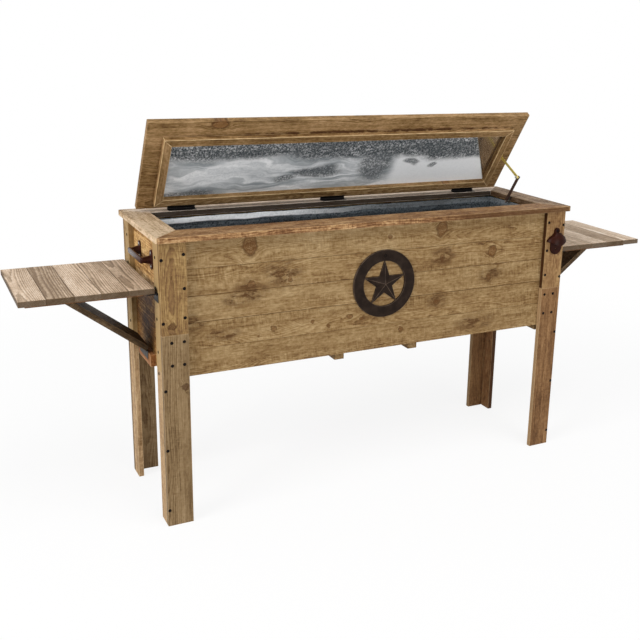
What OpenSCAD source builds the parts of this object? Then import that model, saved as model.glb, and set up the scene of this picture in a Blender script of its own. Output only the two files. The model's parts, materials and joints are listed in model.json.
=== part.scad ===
// Patio cooler of wooden boards on four legs, with a lined lid that leans on a two-link stay,
// and a folding table on a swinging brace at each end.
// X runs along the cabinet, Y from front to back, Z up. The origin is on the ground, under the
// middle of the overall box. The lid is drawn open and the tables are drawn up.

/* [Cabinet] */
// Height of the rim's top above the ground
rim_top = 800; // [700:5:900]
// Length of the rim, end to end
rim_len = 1298; // [1100:2:1500]
// Depth of the rim, front to back
rim_dep = 406; // [380:2:460]
// Thickness of every board
board_t = 15; // [13:0.5:18]
// Width of the front rim board
rim_front_w = 83; // [70:1:90]
// Width of the rear rim board
rim_rear_w = 75; // [70:1:90]
// Width of the two end rim boards
rim_end_w = 73; // [60:1:90]
// How far the rim passes the corner boards at each end
rim_over_end = 10; // [0:1:16]
// How far the rim passes the corner boards at the front and the back
rim_over_front = 14; // [4:1:20]
// Radius of the rim's outer corners
rim_corner_r = 9; // [3:1:25]
// Height of the wall panels below the rim
panel_h = 368; // [340:2:400]
// Width of a wall plank, the top plank takes what is left
plank_w = 72.5; // [60:0.5:80]
// Open joint between neighbouring boards
board_gap = 0.4; // [0.2:0.1:1]

/* [Corner posts and floor] */
// Width of the post boards that face front and back
post_w = 70; // [50:1:90]
// Width of the post boards that face the ends
post_end_w = 45; // [35:1:60]
// Height of the leg boards that face front and back
leg_h = 540; // [480:5:600]
// Height of the leg boards that face the ends
leg_end_h = 437; // [425:1:500]
// Width of a batten under the floor
floor_batten_w = 30; // [20:1:45]
// Height of a batten under the floor
floor_batten_h = 22; // [15:1:35]
// Distance of the two inner floor battens from the middle
floor_batten_at = 121; // [80:1:300]
// Gap between an outer floor batten and the end wall's inner face
floor_batten_end_gap = 4; // [2:1:60]
// How far the cleat under a brace passes the brace at the front and the back
cleat_past = 1; // [0:0.5:6]
// Height of the cleat
cleat_h = 34; // [28:1:60]
// How far the cleat reaches below the wall
cleat_drop = 1; // [0:0.5:5]

/* [Tub] */
// Depth of the tub inside
tub_h = 300; // [220:5:320]
// Thickness of the tub's sheet
tub_t = 1; // [0.8:0.1:2]
// How far the tub's inside passes the opening in the rim
tub_margin = 1.5; // [0.5:0.1:4]
// Radius of the rolled bead at the tub's top
bead_r = 3.5; // [2.5:0.1:4.5]
// Gap between the bead and the rim boards
bead_gap = 5; // [1:0.5:10]
// Height of the rails that the bead rests on
rail_h = 16; // [10:1:30]
// Gap between the bead and the rails that carry it
bead_seat = 0.1; // [0.1:0.1:0.3]
// Clearance between the tub's wall and its rails
tub_fit = 0.5; // [0.2:0.1:1]

/* [Lid] */
// Angle of the open lid above its closed place
lid_open = 56.5; // [30:0.5:60]
// Half of what the lid is shorter than the rim
lid_end_set = 42.5; // [0:0.5:60]
// How far the lid sits to the left of the middle, which leaves the stay its room
lid_shift = 4; // [0:0.5:6]
// Distance from the rim's front edge to the front edge of the closed lid
lid_front_set = 43.4; // [20:0.2:55]
// Number of boards in the lid
lid_boards_n = 4; // [3:1:5]
// Distance from the rim's rear edge to the lid's hinge pin
lid_pin_in = 53; // [48:0.5:54]
// Gap between the lid's rear edge and the hinge pin
lid_edge_gap = 4; // [3.8:0.1:6]
// Clearance between the lid's inner frame and the rear of the opening
lid_frame_fit = 2; // [1.5:0.5:4]
// Clearance between the lid's inner frame and the front of the opening
lid_frame_front_fit = 8.5; // [3:0.5:30]
// Mean clearance between the inner frame and the ends of the opening
lid_frame_end_fit = 14.5; // [12:0.5:18]
// Width of an inner frame member
lid_frame_w = 22.4; // [15:0.2:40]
// How far the inner frame stands below the lid
lid_frame_h = 16.4; // [13:0.2:25]
// Thickness of the lid's lining sheet
lining_t = 1; // [0.5:0.1:2]

/* [Hinges] */
// Thickness of a hinge leaf
leaf_t = 1.5; // [1:0.1:2]
// Radius of a hinge knuckle
knuckle_r = 3.5; // [3:0.1:3.6]
// Radius of a hinge pin
hinge_pin_r = 1.5; // [1:0.1:2]
// Clearance round a pin
pin_fit = 0.06; // [0.02:0.01:0.1]
// Gap between neighbouring knuckles
knuckle_gap = 0.4; // [0.2:0.1:1]
// Gap between a knuckle and the face that it stands on
knuckle_lift = 0.2; // [0.1:0.1:0.5]
// Length of a lid hinge
lid_hinge_len = 80; // [50:1:120]
// Depth of a lid hinge leaf from the pin
lid_leaf_w = 20; // [16:0.5:21.5]
// Distance from the lid's end to the middle of its outer hinges
lid_hinge_in = 129; // [60:1:300]
// Gap between an end knuckle and the face beside it
end_knuckle_lift = 0.5; // [0.3:0.1:1]
// Length of a table hinge
table_hinge_len = 38; // [25:1:44]
// Depth of a table hinge leaf from the pin
table_leaf_w = 24; // [16:1:30]
// Length of a brace hinge
brace_hinge_len = 84; // [50:1:110]
// Depth of a brace hinge leaf from the pin
brace_leaf_w = 27; // [22:1:32]

/* [Stay] */
// Distance from the hinge pin forward to the stay's lower pivot
stay_foot_at = 127; // [122:0.5:132]
// Distance from the hinge pin down to the stay's lower pivot
stay_foot_drop = 20.7; // [19:0.1:23]
// Distance along the lid from the hinge pin to the upper pivot
stay_lid_at = 148; // [144:0.5:152]
// Distance of the upper pivot below the hinge pin, with the lid closed
stay_lid_drop = 11; // [10:0.1:12]
// Length of the lower link between its pivots
stay_lower_len = 104; // [100:0.5:110]
// Length of the upper link between its pivots
stay_upper_len = 107.5; // [104:0.5:112]
// Width of the lower link
stay_lower_w = 11; // [9:0.5:12]
// Width of the upper link
stay_upper_w = 8.5; // [8:0.5:11]
// Thickness of a link
stay_t = 2; // [1.2:0.1:2.2]
// Radius of a stay rivet's shank
stay_pin_r = 2; // [1.5:0.1:2.5]
// Gap between neighbouring parts of the stay
stay_gap = 0.3; // [0.2:0.1:0.4]
// Thickness of the stay's two brackets
stay_bracket_t = 1.6; // [1.2:0.1:2]

/* [Tables] */
// Height of a table's top
table_top = 664; // [655:1:672]
// Length of a table, outwards
table_len = 327; // [280:1:380]
// Width of a table, front to back
table_w = 334; // [300:1:360]
// Number of boards in a table
table_boards_n = 5; // [3:1:8]
// Gap between the cabinet and a table
table_gap = 8; // [7.8:0.1:10]
// Width of a batten under a table
table_batten_w = 30; // [20:1:35]
// Distance from a batten's outer face to the recess between the posts
table_batten_fit = 6; // [3:0.5:10]
// Distance from the table's inner edge to the battens
table_batten_in = 18; // [16:1:60]
// Distance from the table's outer edge to the battens
table_batten_out = 20; // [5:1:60]
// Width of a brace, front to back
brace_w = 124; // [90:1:124]
// Angle of a raised brace above level
brace_angle = 37.4; // [34:0.1:41]
// Height of a brace's hinge pin above the cleat
brace_pin_up = 8; // [5:0.5:12]
// Distance from a brace's pin to the brace's foot
brace_foot_gap = 8; // [5:0.5:12]
// Gap between a raised brace and its table
brace_top_gap = 0.3; // [0.2:0.1:0.5]

/* [Star medallion] */
// Outer radius of the ring
star_ring_r = 99; // [70:1:110]
// Inner radius of the ring
star_ring_in_r = 66.5; // [50:0.5:68]
// Thickness of the ring
star_ring_t = 6; // [4:0.5:10]
// Radius from the middle to a star's point
star_point_r = 69; // [68.5:0.5:72]
// Radius from the middle to the notch between two points
star_notch_r = 27; // [20:0.5:32]
// Height of the star's edge
star_edge_h = 4; // [2:0.5:6]
// Height of the star's middle
star_peak_h = 13; // [8:0.5:20]
// Distance of the medallion to the right of the middle
star_at = 9; // [-100:1:100]
// Height of the medallion's middle above the ground
star_z = 612; // [560:1:650]
// Radius of the mounting hole in the ring
star_hole_r = 3; // [2:0.5:5]

/* [Opener and handles] */
// Distance of the opener to the right of its post's middle
opener_off = 4; // [-8:1:8]
// Height of the opener's middle above the ground
opener_z = 691; // [640:1:710]
// Width of the opener across its wings
opener_w = 72; // [60:1:80]
// How far the opener stands out from its post
opener_reach = 26; // [20:0.5:30]
// Thickness of the opener's back plate
opener_plate_t = 4; // [3:0.5:6]
// Thickness of the opener's hood
opener_hood_t = 5; // [4:0.5:7]
// Height of a handle's grip above the ground
handle_z = 713; // [700:0.5:730]
// Width of a handle, front to back
handle_w = 142; // [110:1:150]
// Height of a handle's feet
handle_foot_h = 52; // [46:1:64]
// Width of a handle's feet
handle_foot_w = 20; // [14:1:26]
// Thickness of a handle's feet
handle_foot_t = 4; // [3:0.5:6]
// How far a handle stands out from the wall
handle_reach = 33; // [30:0.5:45]
// Height of a handle's grip
grip_h = 16; // [12:0.5:20]
// Thickness of a handle's grip
grip_t = 9; // [7:0.5:11]
// Thickness of a handle's webs
handle_web_t = 5; // [4:0.5:7]

/* [Hidden] */
$fn = 48;
hinge_facets = 32;

// colours as they show
front_wood = "#aa8c64";
post_wood = "#84694f";
lid_wood = "#82644a";
grey_wood = "#bea890";
fresh_wood = "#c08552";
galvanised = "#b4bcc0";
cast_metal = "#372d2a";
zinc_yellow = "#c8b464";
black_metal = "#1e1c1c";

// cabinet, from the rim inwards
body_x = rim_len / 2 - rim_over_end;
opener_at = body_x - post_w / 2 + opener_off;
opener_past = opener_reach - rim_over_front;
rim_y0 = -(rim_dep - opener_past) / 2;
mid_y = rim_y0 + rim_dep / 2;
body_y = rim_dep / 2 - rim_over_front;
under_rim = rim_top - board_t;
panel_z = under_rim - panel_h;
planks_n = floor(panel_h / plank_w);
wall_x = body_x - board_t;
wall_y = body_y - board_t;
in_x = wall_x - board_t;
in_y = wall_y - board_t;
floor_batten_end_at = in_x - floor_batten_end_gap - floor_batten_w / 2;
open_x = rim_len / 2 - rim_end_w;
open_y0 = rim_y0 + rim_front_w;
open_y1 = rim_y0 + rim_dep - rim_rear_w;

// tub
tub_top = under_rim - bead_gap;
tub_x = open_x + tub_margin;
tub_y0 = open_y0 - tub_margin;
tub_y1 = open_y1 + tub_margin;

// lid, drawn closed from its hinge pin and then leaned open
pin_y = rim_y0 + rim_dep - lid_pin_in;
lid_len = rim_len - 2 * lid_end_set;
lid_dep = rim_dep - lid_pin_in - lid_edge_gap - lid_front_set;
lid_hinge_at = lid_len / 2 - lid_hinge_in;
pin_z = rim_top + knuckle_r + knuckle_lift;
lid_under = leaf_t + 0.1;
lid_frame_x = open_x - lid_frame_end_fit;
lid_frame_y1 = open_y1 - lid_frame_fit - pin_y;
lid_frame_y0 = open_y0 + lid_frame_front_fit - pin_y;

// stay, in the plane of Y and Z from the lid's hinge pin
foot_pivot = [-stay_foot_at, -stay_foot_drop];
function turned(p, a) = [p[0] * cos(a) - p[1] * sin(a), p[0] * sin(a) + p[1] * cos(a)];
function lid_pivot(open) = turned([-stay_lid_at, -stay_lid_drop], -open);
function span(a, b) = norm(b - a);
function heading(a, b) = atan2(b[1] - a[1], b[0] - a[0]);
function corner_angle(near, far, opposite) =
    acos((near * near + far * far - opposite * opposite) / (2 * near * far));
function lower_heading(open) = heading(foot_pivot, lid_pivot(open))
    + corner_angle(stay_lower_len, span(foot_pivot, lid_pivot(open)), stay_upper_len);
function elbow(open) = foot_pivot
    + stay_lower_len * [cos(lower_heading(open)), sin(lower_heading(open))];
rivet_head_r = stay_pin_r + 1.5;
rivet_head_t = 1.5;
lid_bracket_x = lid_frame_x - lid_shift;
upper_link_x = lid_bracket_x + stay_bracket_t + stay_gap;
lower_link_x = upper_link_x + stay_t + stay_gap;
foot_x = open_x - stay_bracket_t;

// tables and braces, from each end of the cabinet outwards
table_pin_x = body_x + knuckle_r + end_knuckle_lift;
table_under = table_top - board_t;
table_x0 = body_x + table_gap;
recess_y = body_y - board_t - post_end_w;
batten_y1 = recess_y - table_batten_fit;
batten_y0 = batten_y1 - table_batten_w;
table_hinge_y = body_y - board_t - post_end_w / 2;
cleat_y = brace_w / 2 + cleat_past;
cleat_top = panel_z + cleat_h - cleat_drop;
brace_pin_z = cleat_top + brace_pin_up;

// block between two corners
module block(a, b) {
    translate([min(a[0], b[0]), min(a[1], b[1]), min(a[2], b[2])])
        cube([abs(b[0] - a[0]), abs(b[1] - a[1]), abs(b[2] - a[2])]);
}

// rectangle with round corners, from its lower left corner
module round_rect(w, h, r) {
    translate([r, 0]) square([w - 2 * r, h]);
    translate([0, r]) square([w, h - 2 * r]);
    for (x = [r, w - r], y = [r, h - r]) translate([x, y]) circle(r);
}

// the rim's outline, cut to one of its mitred boards
module rim_board(outline) {
    color(front_wood) translate([0, 0, under_rim]) linear_extrude(board_t) intersection() {
        translate([-rim_len / 2, rim_y0]) round_rect(rim_len, rim_dep, rim_corner_r);
        polygon(outline);
    }
}
module rim_front() {
    rim_board([[-rim_len / 2, rim_y0], [rim_len / 2, rim_y0], [open_x, open_y0], [-open_x, open_y0]]);
}
module rim_rear() {
    rear = rim_y0 + rim_dep;
    rim_board([[-rim_len / 2, rear], [-open_x, open_y1], [open_x, open_y1], [rim_len / 2, rear]]);
}
module rim_end(side) {
    rim_board([[side * rim_len / 2, rim_y0], [side * rim_len / 2, rim_y0 + rim_dep],
        [side * open_x, open_y1], [side * open_x, open_y0]]);
}

// height where a wall plank starts, counted from the top
function plank_bottom(i) = panel_z + (planks_n - i) * plank_w;
function plank_head(i) = i == 1 ? under_rim : plank_bottom(i - 1) - board_gap;
module front_plank(i) {
    color(front_wood)
        block([-wall_x, mid_y - wall_y, plank_bottom(i)], [wall_x, mid_y - in_y, plank_head(i)]);
}
module rear_planks() {
    color(front_wood) for (i = [1 : planks_n])
        block([-wall_x, mid_y + in_y, plank_bottom(i)], [wall_x, mid_y + wall_y, plank_head(i)]);
}
module end_planks(side) {
    color(front_wood) for (i = [1 : planks_n])
        block([side * in_x, mid_y - in_y, plank_bottom(i)], [side * wall_x, mid_y + in_y, plank_head(i)]);
}

// corner boards: side is -1 at the left and 1 at the right, face is -1 in front and 1 behind
module wide_board(side, face, z0, z1) {
    block([side * (body_x - post_w), mid_y + face * wall_y, z0], [side * body_x, mid_y + face * body_y, z1]);
}
module narrow_board(side, face, z0, z1) {
    block([side * wall_x, mid_y + face * recess_y, z0],
        [side * body_x, mid_y + face * (wall_y - board_gap), z1]);
}
module post(side, face) {
    color(post_wood) {
        wide_board(side, face, leg_h, under_rim);
        narrow_board(side, face, leg_end_h, under_rim);
    }
}
module leg(side, face) {
    color(post_wood) wide_board(side, face, 0, leg_h);
}
module leg_end(side, face) {
    color(post_wood) narrow_board(side, face, 0, leg_end_h);
}

module cleat(side) {
    color(fresh_wood)
        block([side * wall_x, mid_y - cleat_y, cleat_top - cleat_h],
            [side * body_x, mid_y + cleat_y, cleat_top]);
}
module floor_boards() {
    color(fresh_wood) block([-in_x, mid_y - in_y, panel_z], [in_x, mid_y + in_y, panel_z + board_t]);
}
module floor_batten(x) {
    color(fresh_wood) block([x - floor_batten_w / 2, mid_y - in_y, panel_z - floor_batten_h],
        [x + floor_batten_w / 2, mid_y + in_y, panel_z]);
}

// folded sheet tub with a rolled bead that hangs on the rails
module tub() {
    out_x = tub_x + tub_t;
    out_y0 = tub_y0 - tub_t;
    out_y1 = tub_y1 + tub_t;
    bead_x = out_x + bead_r - tub_t;
    bead_y0 = out_y0 - bead_r + tub_t;
    bead_y1 = out_y1 + bead_r - tub_t;
    bead_z = tub_top - bead_r;
    color(galvanised) {
        difference() {
            block([-out_x, out_y0, tub_top - tub_h - tub_t], [out_x, out_y1, tub_top]);
            block([-tub_x, tub_y0, tub_top - tub_h], [tub_x, tub_y1, tub_top + 1]);
        }
        for (y = [bead_y0, bead_y1])
            translate([-bead_x, y, bead_z]) rotate([0, 90, 0]) cylinder(h = 2 * bead_x, r = bead_r);
        for (x = [-bead_x, bead_x]) {
            translate([x, bead_y0, bead_z]) rotate([-90, 0, 0])
                cylinder(h = bead_y1 - bead_y0, r = bead_r);
            for (y = [bead_y0, bead_y1]) translate([x, y, bead_z]) sphere(bead_r);
        }
    }
}
module tub_rails() {
    z1 = tub_top - 2 * bead_r - bead_seat;
    z0 = z1 - rail_h;
    rail_x = tub_x + tub_t + tub_fit;
    rail_y0 = tub_y0 - tub_t - tub_fit;
    rail_y1 = tub_y1 + tub_t + tub_fit;
    color(fresh_wood) {
        block([-in_x, mid_y - in_y, z0], [in_x, rail_y0, z1]);
        block([-in_x, rail_y1, z0], [in_x, mid_y + in_y, z1]);
        for (side = [-1, 1]) block([side * rail_x, rail_y0, z0], [side * in_x, rail_y1, z1]);
    }
}

// cast ring with a faceted star, one ridge to each point and one to each notch
module star_medallion() {
    corners = [for (i = [0 : 9]) let (r = i % 2 == 0 ? star_point_r : star_notch_r, a = 90 + 36 * i)
        [r * cos(a), r * sin(a)]];
    hole_at = (star_ring_r + star_ring_in_r) / 2;
    bevel = star_ring_t / 4;
    color(cast_metal) translate([star_at, mid_y - wall_y, star_z]) rotate([90, 0, 0]) {
        difference() {
            rotate_extrude($fn = 96) polygon([[star_ring_in_r, 0], [star_ring_r, 0],
                [star_ring_r, star_ring_t - bevel], [star_ring_r - bevel, star_ring_t],
                [star_ring_in_r + bevel, star_ring_t], [star_ring_in_r, star_ring_t - bevel]]);
            translate([0, hole_at, -1]) cylinder(h = star_ring_t + 2, r = star_hole_r);
        }
        polyhedron(
            points = [for (h = [0, star_edge_h], c = corners) [c[0], c[1], h], [0, 0, 0], [0, 0, star_peak_h]],
            faces = [for (i = [0 : 9]) let (j = (i + 1) % 10)
                each [[i, j, 20], [i, i + 10, j + 10], [i, j + 10, j], [i + 10, 21, j + 10]]]);
    }
}

// cast opener: a plate with an ear and a belly, and a domed hood whose lip grips a bottle's cap
module opener_dome(less) {
    scale([opener_w / 2 + 2 - less, 45 - less, opener_reach - less]) sphere(1, $fn = 32);
}
module bottle_opener() {
    half = opener_w / 2;
    ear_r = 9;
    ear_at = 33;
    ear_t = 2 + opener_plate_t;
    belly_r = 21;
    belly_at = -21;
    dome_at = -12;
    wing = [[9, 27], [16, 19.5], [27, 13], [half - 2, 6], [half, 0], [half - 13, -3], [11, -8.5]];
    color(cast_metal) translate([opener_at, mid_y - body_y, opener_z]) rotate([90, 0, 0]) {
        difference() {
            union() {
                linear_extrude(opener_plate_t) {
                    translate([0, belly_at]) circle(belly_r);
                    translate([-belly_r, belly_at]) square([2 * belly_r, 10 - belly_at]);
                    translate([-ear_r, 0]) square([2 * ear_r, ear_at]);
                }
                translate([0, ear_at, 0]) cylinder(h = ear_t, r = ear_r);
            }
            for (y = [ear_at, belly_at - 4]) translate([0, y, -1]) cylinder(h = ear_t + 2, r = 2.5);
            translate([0, ear_at, ear_t - 2]) cylinder(h = 3, r = 5);
        }
        difference() {
            intersection() {
                linear_extrude(opener_reach) opener_front(wing, dome_at);
                translate([0, dome_at, 0]) opener_dome(0);
            }
            translate([0, dome_at, opener_plate_t]) opener_dome(opener_hood_t + opener_plate_t);
        }
    }
}
// the hood's outline: wing holds the right half's points from the neck to the lip
module opener_front(wing, lip) {
    left = [for (i = [len(wing) - 1 : -1 : 0]) [-wing[i][0], wing[i][1]]];
    polygon(concat(wing, [[0, lip]], left));
}

// cast pull: two feet with two screw holes each, two ribbed webs that narrow outwards, and the grip
module handle_foot() {
    r = handle_foot_w / 2;
    lobe_at = handle_foot_h / 2 - r;
    difference() {
        linear_extrude(handle_foot_t) {
            square([handle_foot_w, 2 * lobe_at], center = true);
            for (y = [-lobe_at, lobe_at]) translate([0, y]) circle(r);
        }
        for (y = [-lobe_at - 2, lobe_at + 2]) translate([0, y, -1]) cylinder(h = handle_foot_t + 2, r = 2.2);
    }
}
module handle_web() {
    steps = 6;
    root = handle_foot_h / 2 - 12;
    tip = grip_h / 2 - 1;
    far = handle_reach - grip_t / 2;
    function half(i) = tip + (root - tip) * pow(1 - i / steps, 1.7);
    edge = [for (i = [0 : steps]) [far * i / steps, half(i)]];
    translate([0, 0, -handle_web_t / 2]) linear_extrude(handle_web_t)
        polygon(concat(edge, [for (i = [steps : -1 : 0]) [edge[i][0], -edge[i][1]]]));
    translate([0, -2, -handle_web_t]) cube([far, 4, 2 * handle_web_t]);
}
module handle(side) {
    foot_at = handle_w / 2 - handle_foot_w / 2;
    color(cast_metal) translate([side * wall_x, mid_y, handle_z]) rotate([90, 0, side > 0 ? 0 : 180]) {
        for (face = [-1, 1]) {
            translate([0, 0, face * foot_at]) {
                rotate([0, 90, 0]) handle_foot();
                handle_web();
            }
        }
        translate([handle_reach - grip_t, -grip_h / 2, -foot_at - handle_web_t])
            linear_extrude(2 * foot_at + 2 * handle_web_t) round_rect(grip_t, grip_h, grip_t / 2.5);
    }
}

// places what is drawn closed, from the hinge pin, on the open lid
module on_lid() {
    translate([-lid_shift, pin_y, pin_z]) rotate([-lid_open, 0, 0]) children();
}
module lid_boards() {
    pitch = (lid_dep + board_gap) / lid_boards_n;
    color(lid_wood) on_lid() for (i = [0 : lid_boards_n - 1])
        translate([-lid_len / 2, -lid_edge_gap - i * pitch - pitch + board_gap, lid_under])
            cube([lid_len, pitch - board_gap, board_t]);
}
module lid_frame_member(outline) {
    color(lid_wood) on_lid() translate([0, 0, lid_under - lid_frame_h])
        linear_extrude(lid_frame_h) polygon(outline);
}
module lid_frame_long(outer, inner) {
    lid_frame_member([[-lid_frame_x, outer], [lid_frame_x, outer],
        [lid_frame_x - lid_frame_w, inner], [-lid_frame_x + lid_frame_w, inner]]);
}
module lid_frame_end(side) {
    lid_frame_member([[side * lid_frame_x, lid_frame_y0], [side * lid_frame_x, lid_frame_y1],
        [side * (lid_frame_x - lid_frame_w), lid_frame_y1 - lid_frame_w],
        [side * (lid_frame_x - lid_frame_w), lid_frame_y0 + lid_frame_w]]);
}
module lid_lining() {
    color(galvanised) on_lid()
        block([-lid_frame_x + lid_frame_w, lid_frame_y0 + lid_frame_w, lid_under - lining_t],
            [lid_frame_x - lid_frame_w, lid_frame_y1 - lid_frame_w, lid_under]);
}

// half of a butt hinge along X with its pin at the origin. The leaf lies towards -Y, with its
// lower face at z0. The fixed half has the two outer knuckles and the pin, the other the middle one.
module hinge_leaf(len, w, z0, fixed) {
    third = len / 3;
    edge = knuckle_r + 0.4;
    spans = fixed ? [[-len / 2, -third / 2 - knuckle_gap], [third / 2 + knuckle_gap, len / 2]]
        : [[-third / 2, third / 2]];
    $fn = hinge_facets;
    color(black_metal) {
        block([-len / 2, -w, z0], [len / 2, -edge, z0 + leaf_t]);
        difference() {
            union() for (s = spans) {
                block([s[0], -edge - 1, z0], [s[1], 0, z0 + leaf_t]);
                translate([s[0], 0, 0]) rotate([0, 90, 0]) cylinder(h = s[1] - s[0], r = knuckle_r);
            }
            if (!fixed) translate([-len / 2, 0, 0]) rotate([0, 90, 0])
                cylinder(h = len, r = hinge_pin_r + pin_fit);
        }
        if (fixed) translate([-len / 2, 0, 0]) rotate([0, 90, 0]) cylinder(h = len, r = hinge_pin_r);
    }
}
// places a hinge that runs front to back: its -Y goes outwards at an end of the cabinet
module at_end(side, x, z) {
    translate([side * x, mid_y, z]) rotate([0, 0, side > 0 ? 90 : -90]) children();
}
module fixed_hinge_leaves() {
    for (x = [-lid_hinge_at, 0, lid_hinge_at])
        translate([x - lid_shift, pin_y, pin_z])
            hinge_leaf(lid_hinge_len, lid_leaf_w, rim_top - pin_z, true);
    for (side = [-1, 1]) {
        for (y = [-table_hinge_y, table_hinge_y])
            at_end(side, table_pin_x, table_under) translate([y, 0, 0]) rotate([90, 0, 0])
                hinge_leaf(table_hinge_len, table_leaf_w, body_x - table_pin_x, true);
        at_end(side, table_pin_x, brace_pin_z) rotate([90, 0, 0])
            hinge_leaf(brace_hinge_len, brace_leaf_w, body_x - table_pin_x, true);
    }
}
module lid_hinge_leaves() {
    on_lid() for (x = [-lid_hinge_at, 0, lid_hinge_at])
        translate([x, 0, 0]) hinge_leaf(lid_hinge_len, lid_leaf_w, lid_under - leaf_t, false);
}
module table_hinge_leaves(side) {
    for (y = [-table_hinge_y, table_hinge_y])
        at_end(side, table_pin_x, table_under) translate([y, 0, 0])
            hinge_leaf(table_hinge_len, table_leaf_w, -leaf_t, false);
}
module brace_hinge_leaf(side) {
    at_end(side, table_pin_x, brace_pin_z) rotate([-brace_angle, 0, 0])
        hinge_leaf(brace_hinge_len, brace_leaf_w, -leaf_t, false);
}

// flat bar in the stay's plane, drawn from x outwards between two pivots
module stay_bar(x, from, to, w) {
    translate([x, pin_y, pin_z]) rotate([90, 0, 90]) linear_extrude(stay_t) difference() {
        union() {
            translate(from) circle(w / 2);
            translate(to) circle(w / 2);
            translate(from) rotate(heading(from, to)) translate([0, -w / 2]) square([span(from, to), w]);
        }
        children();
    }
}
module stay_shank(x0, x1, at, r) {
    translate([x0, pin_y + at[0], pin_z + at[1]]) rotate([0, 90, 0]) cylinder(h = x1 - x0, r = r);
}
module stay_foot() {
    color(black_metal) {
        difference() {
            translate([foot_x, pin_y + foot_pivot[0] - 7, pin_z + foot_pivot[1] - 6])
                cube([stay_bracket_t, 14, rim_top - pin_z - foot_pivot[1] + 5]);
            stay_shank(foot_x - 1, open_x + 1, foot_pivot + [-4, 11], 1.5);
            stay_shank(foot_x - 1, open_x + 1, foot_pivot + [4, 11], 1.5);
        }
        stay_shank(lower_link_x - stay_gap, foot_x, foot_pivot, stay_pin_r);
        stay_shank(lower_link_x + stay_t + stay_gap, foot_x, foot_pivot, rivet_head_r);
        stay_shank(lower_link_x - stay_gap - rivet_head_t, lower_link_x - stay_gap, foot_pivot, rivet_head_r);
    }
}
module stay_lower_link() {
    color(black_metal) {
        stay_bar(lower_link_x, foot_pivot, elbow(lid_open), stay_lower_w)
            translate(foot_pivot) circle(stay_pin_r + pin_fit);
        stay_shank(lower_link_x + stay_t, lower_link_x + stay_t + 2.5, elbow(lid_open), 4.5);
    }
}
module stay_upper_link() {
    color(zinc_yellow) {
        stay_bar(upper_link_x, elbow(lid_open), lid_pivot(lid_open), stay_upper_w)
            translate(lid_pivot(lid_open)) circle(stay_pin_r + pin_fit);
        translate([upper_link_x - 3.5, pin_y + elbow(lid_open)[0], pin_z + elbow(lid_open)[1]])
            rotate([0, 90, 0]) cylinder(h = 3.5, r = 4.6, $fn = 6);
    }
}
module stay_lid_bracket() {
    color(zinc_yellow) {
        on_lid() difference() {
            block([lid_frame_x, -stay_lid_at - 15, lid_under - lid_frame_h + 1],
                [lid_frame_x + stay_bracket_t, -stay_lid_at + 15, lid_under]);
            for (dy = [-10, 10]) translate([lid_frame_x - 1, -stay_lid_at + dy, -5]) rotate([0, 90, 0])
                cylinder(h = stay_bracket_t + 2, r = 1.5);
        }
        stay_shank(lid_bracket_x, upper_link_x + stay_t + 0.3, lid_pivot(lid_open), stay_pin_r);
    }
}

module table_boards(side) {
    pitch = (table_len + board_gap) / table_boards_n;
    color(grey_wood) for (i = [0 : table_boards_n - 1])
        block([side * (table_x0 + i * pitch), mid_y - table_w / 2, table_under],
            [side * (table_x0 + (i + 1) * pitch - board_gap), mid_y + table_w / 2, table_top]);
}
module table_battens(side) {
    color(grey_wood) for (face = [-1, 1])
        block([side * (table_x0 + table_batten_in), mid_y + face * batten_y0, table_under - board_t],
            [side * (table_x0 + table_len - table_batten_out), mid_y + face * batten_y1, table_under]);
}

// board that leans out from its hinge and carries the table on its bevelled end
module brace(side) {
    along = [cos(brace_angle), sin(brace_angle)];
    across = [-sin(brace_angle), cos(brace_angle)] * board_t;
    rise = table_under - brace_top_gap - brace_pin_z;
    lower = rise / sin(brace_angle);
    upper = (rise - across[1]) / sin(brace_angle);
    color(post_wood) at_end(side, table_pin_x, brace_pin_z) rotate([90, 0, -90])
        translate([0, 0, -brace_w / 2]) linear_extrude(brace_w)
            polygon([along * brace_foot_gap, along * lower, across + along * upper,
                across + along * brace_foot_gap]);
}

rim_front();
rim_rear();
rim_end(-1);  // rim_left
rim_end(1);  // rim_right
front_plank(1);  // front_plank_1
front_plank(2);  // front_plank_2
front_plank(3);  // front_plank_3
front_plank(4);  // front_plank_4
front_plank(5);  // front_plank_5
rear_planks();
end_planks(-1);  // left_planks
end_planks(1);  // right_planks
post(-1, -1);  // post_front_left
post(1, -1);  // post_front_right
post(-1, 1);  // post_rear_left
post(1, 1);  // post_rear_right
leg(-1, -1);  // leg_front_left
leg(1, -1);  // leg_front_right
leg(-1, 1);  // leg_rear_left
leg(1, 1);  // leg_rear_right
leg_end(-1, -1);  // leg_end_front_left
leg_end(1, -1);  // leg_end_front_right
leg_end(-1, 1);  // leg_end_rear_left
leg_end(1, 1);  // leg_end_rear_right
cleat(-1);  // cleat_left
cleat(1);  // cleat_right
floor_boards();
floor_batten(-floor_batten_end_at);  // floor_batten_1
floor_batten(-floor_batten_at);  // floor_batten_2
floor_batten(floor_batten_at);  // floor_batten_3
floor_batten(floor_batten_end_at);  // floor_batten_4
tub();
tub_rails();
star_medallion();
bottle_opener();
handle(-1);  // handle_left
handle(1);  // handle_right
lid_boards();
lid_frame_long(lid_frame_y0, lid_frame_y0 + lid_frame_w);  // lid_frame_front
lid_frame_long(lid_frame_y1, lid_frame_y1 - lid_frame_w);  // lid_frame_rear
lid_frame_end(-1);  // lid_frame_left
lid_frame_end(1);  // lid_frame_right
lid_lining();
fixed_hinge_leaves();
lid_hinge_leaves();
stay_foot();
stay_lid_bracket();
stay_lower_link();
stay_upper_link();
table_boards(-1);  // table_boards_left
table_boards(1);  // table_boards_right
table_battens(-1);  // table_battens_left
table_battens(1);  // table_battens_right
table_hinge_leaves(-1);  // table_hinge_leaves_left
table_hinge_leaves(1);  // table_hinge_leaves_right
brace(-1);  // brace_left
brace(1);  // brace_right
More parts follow.
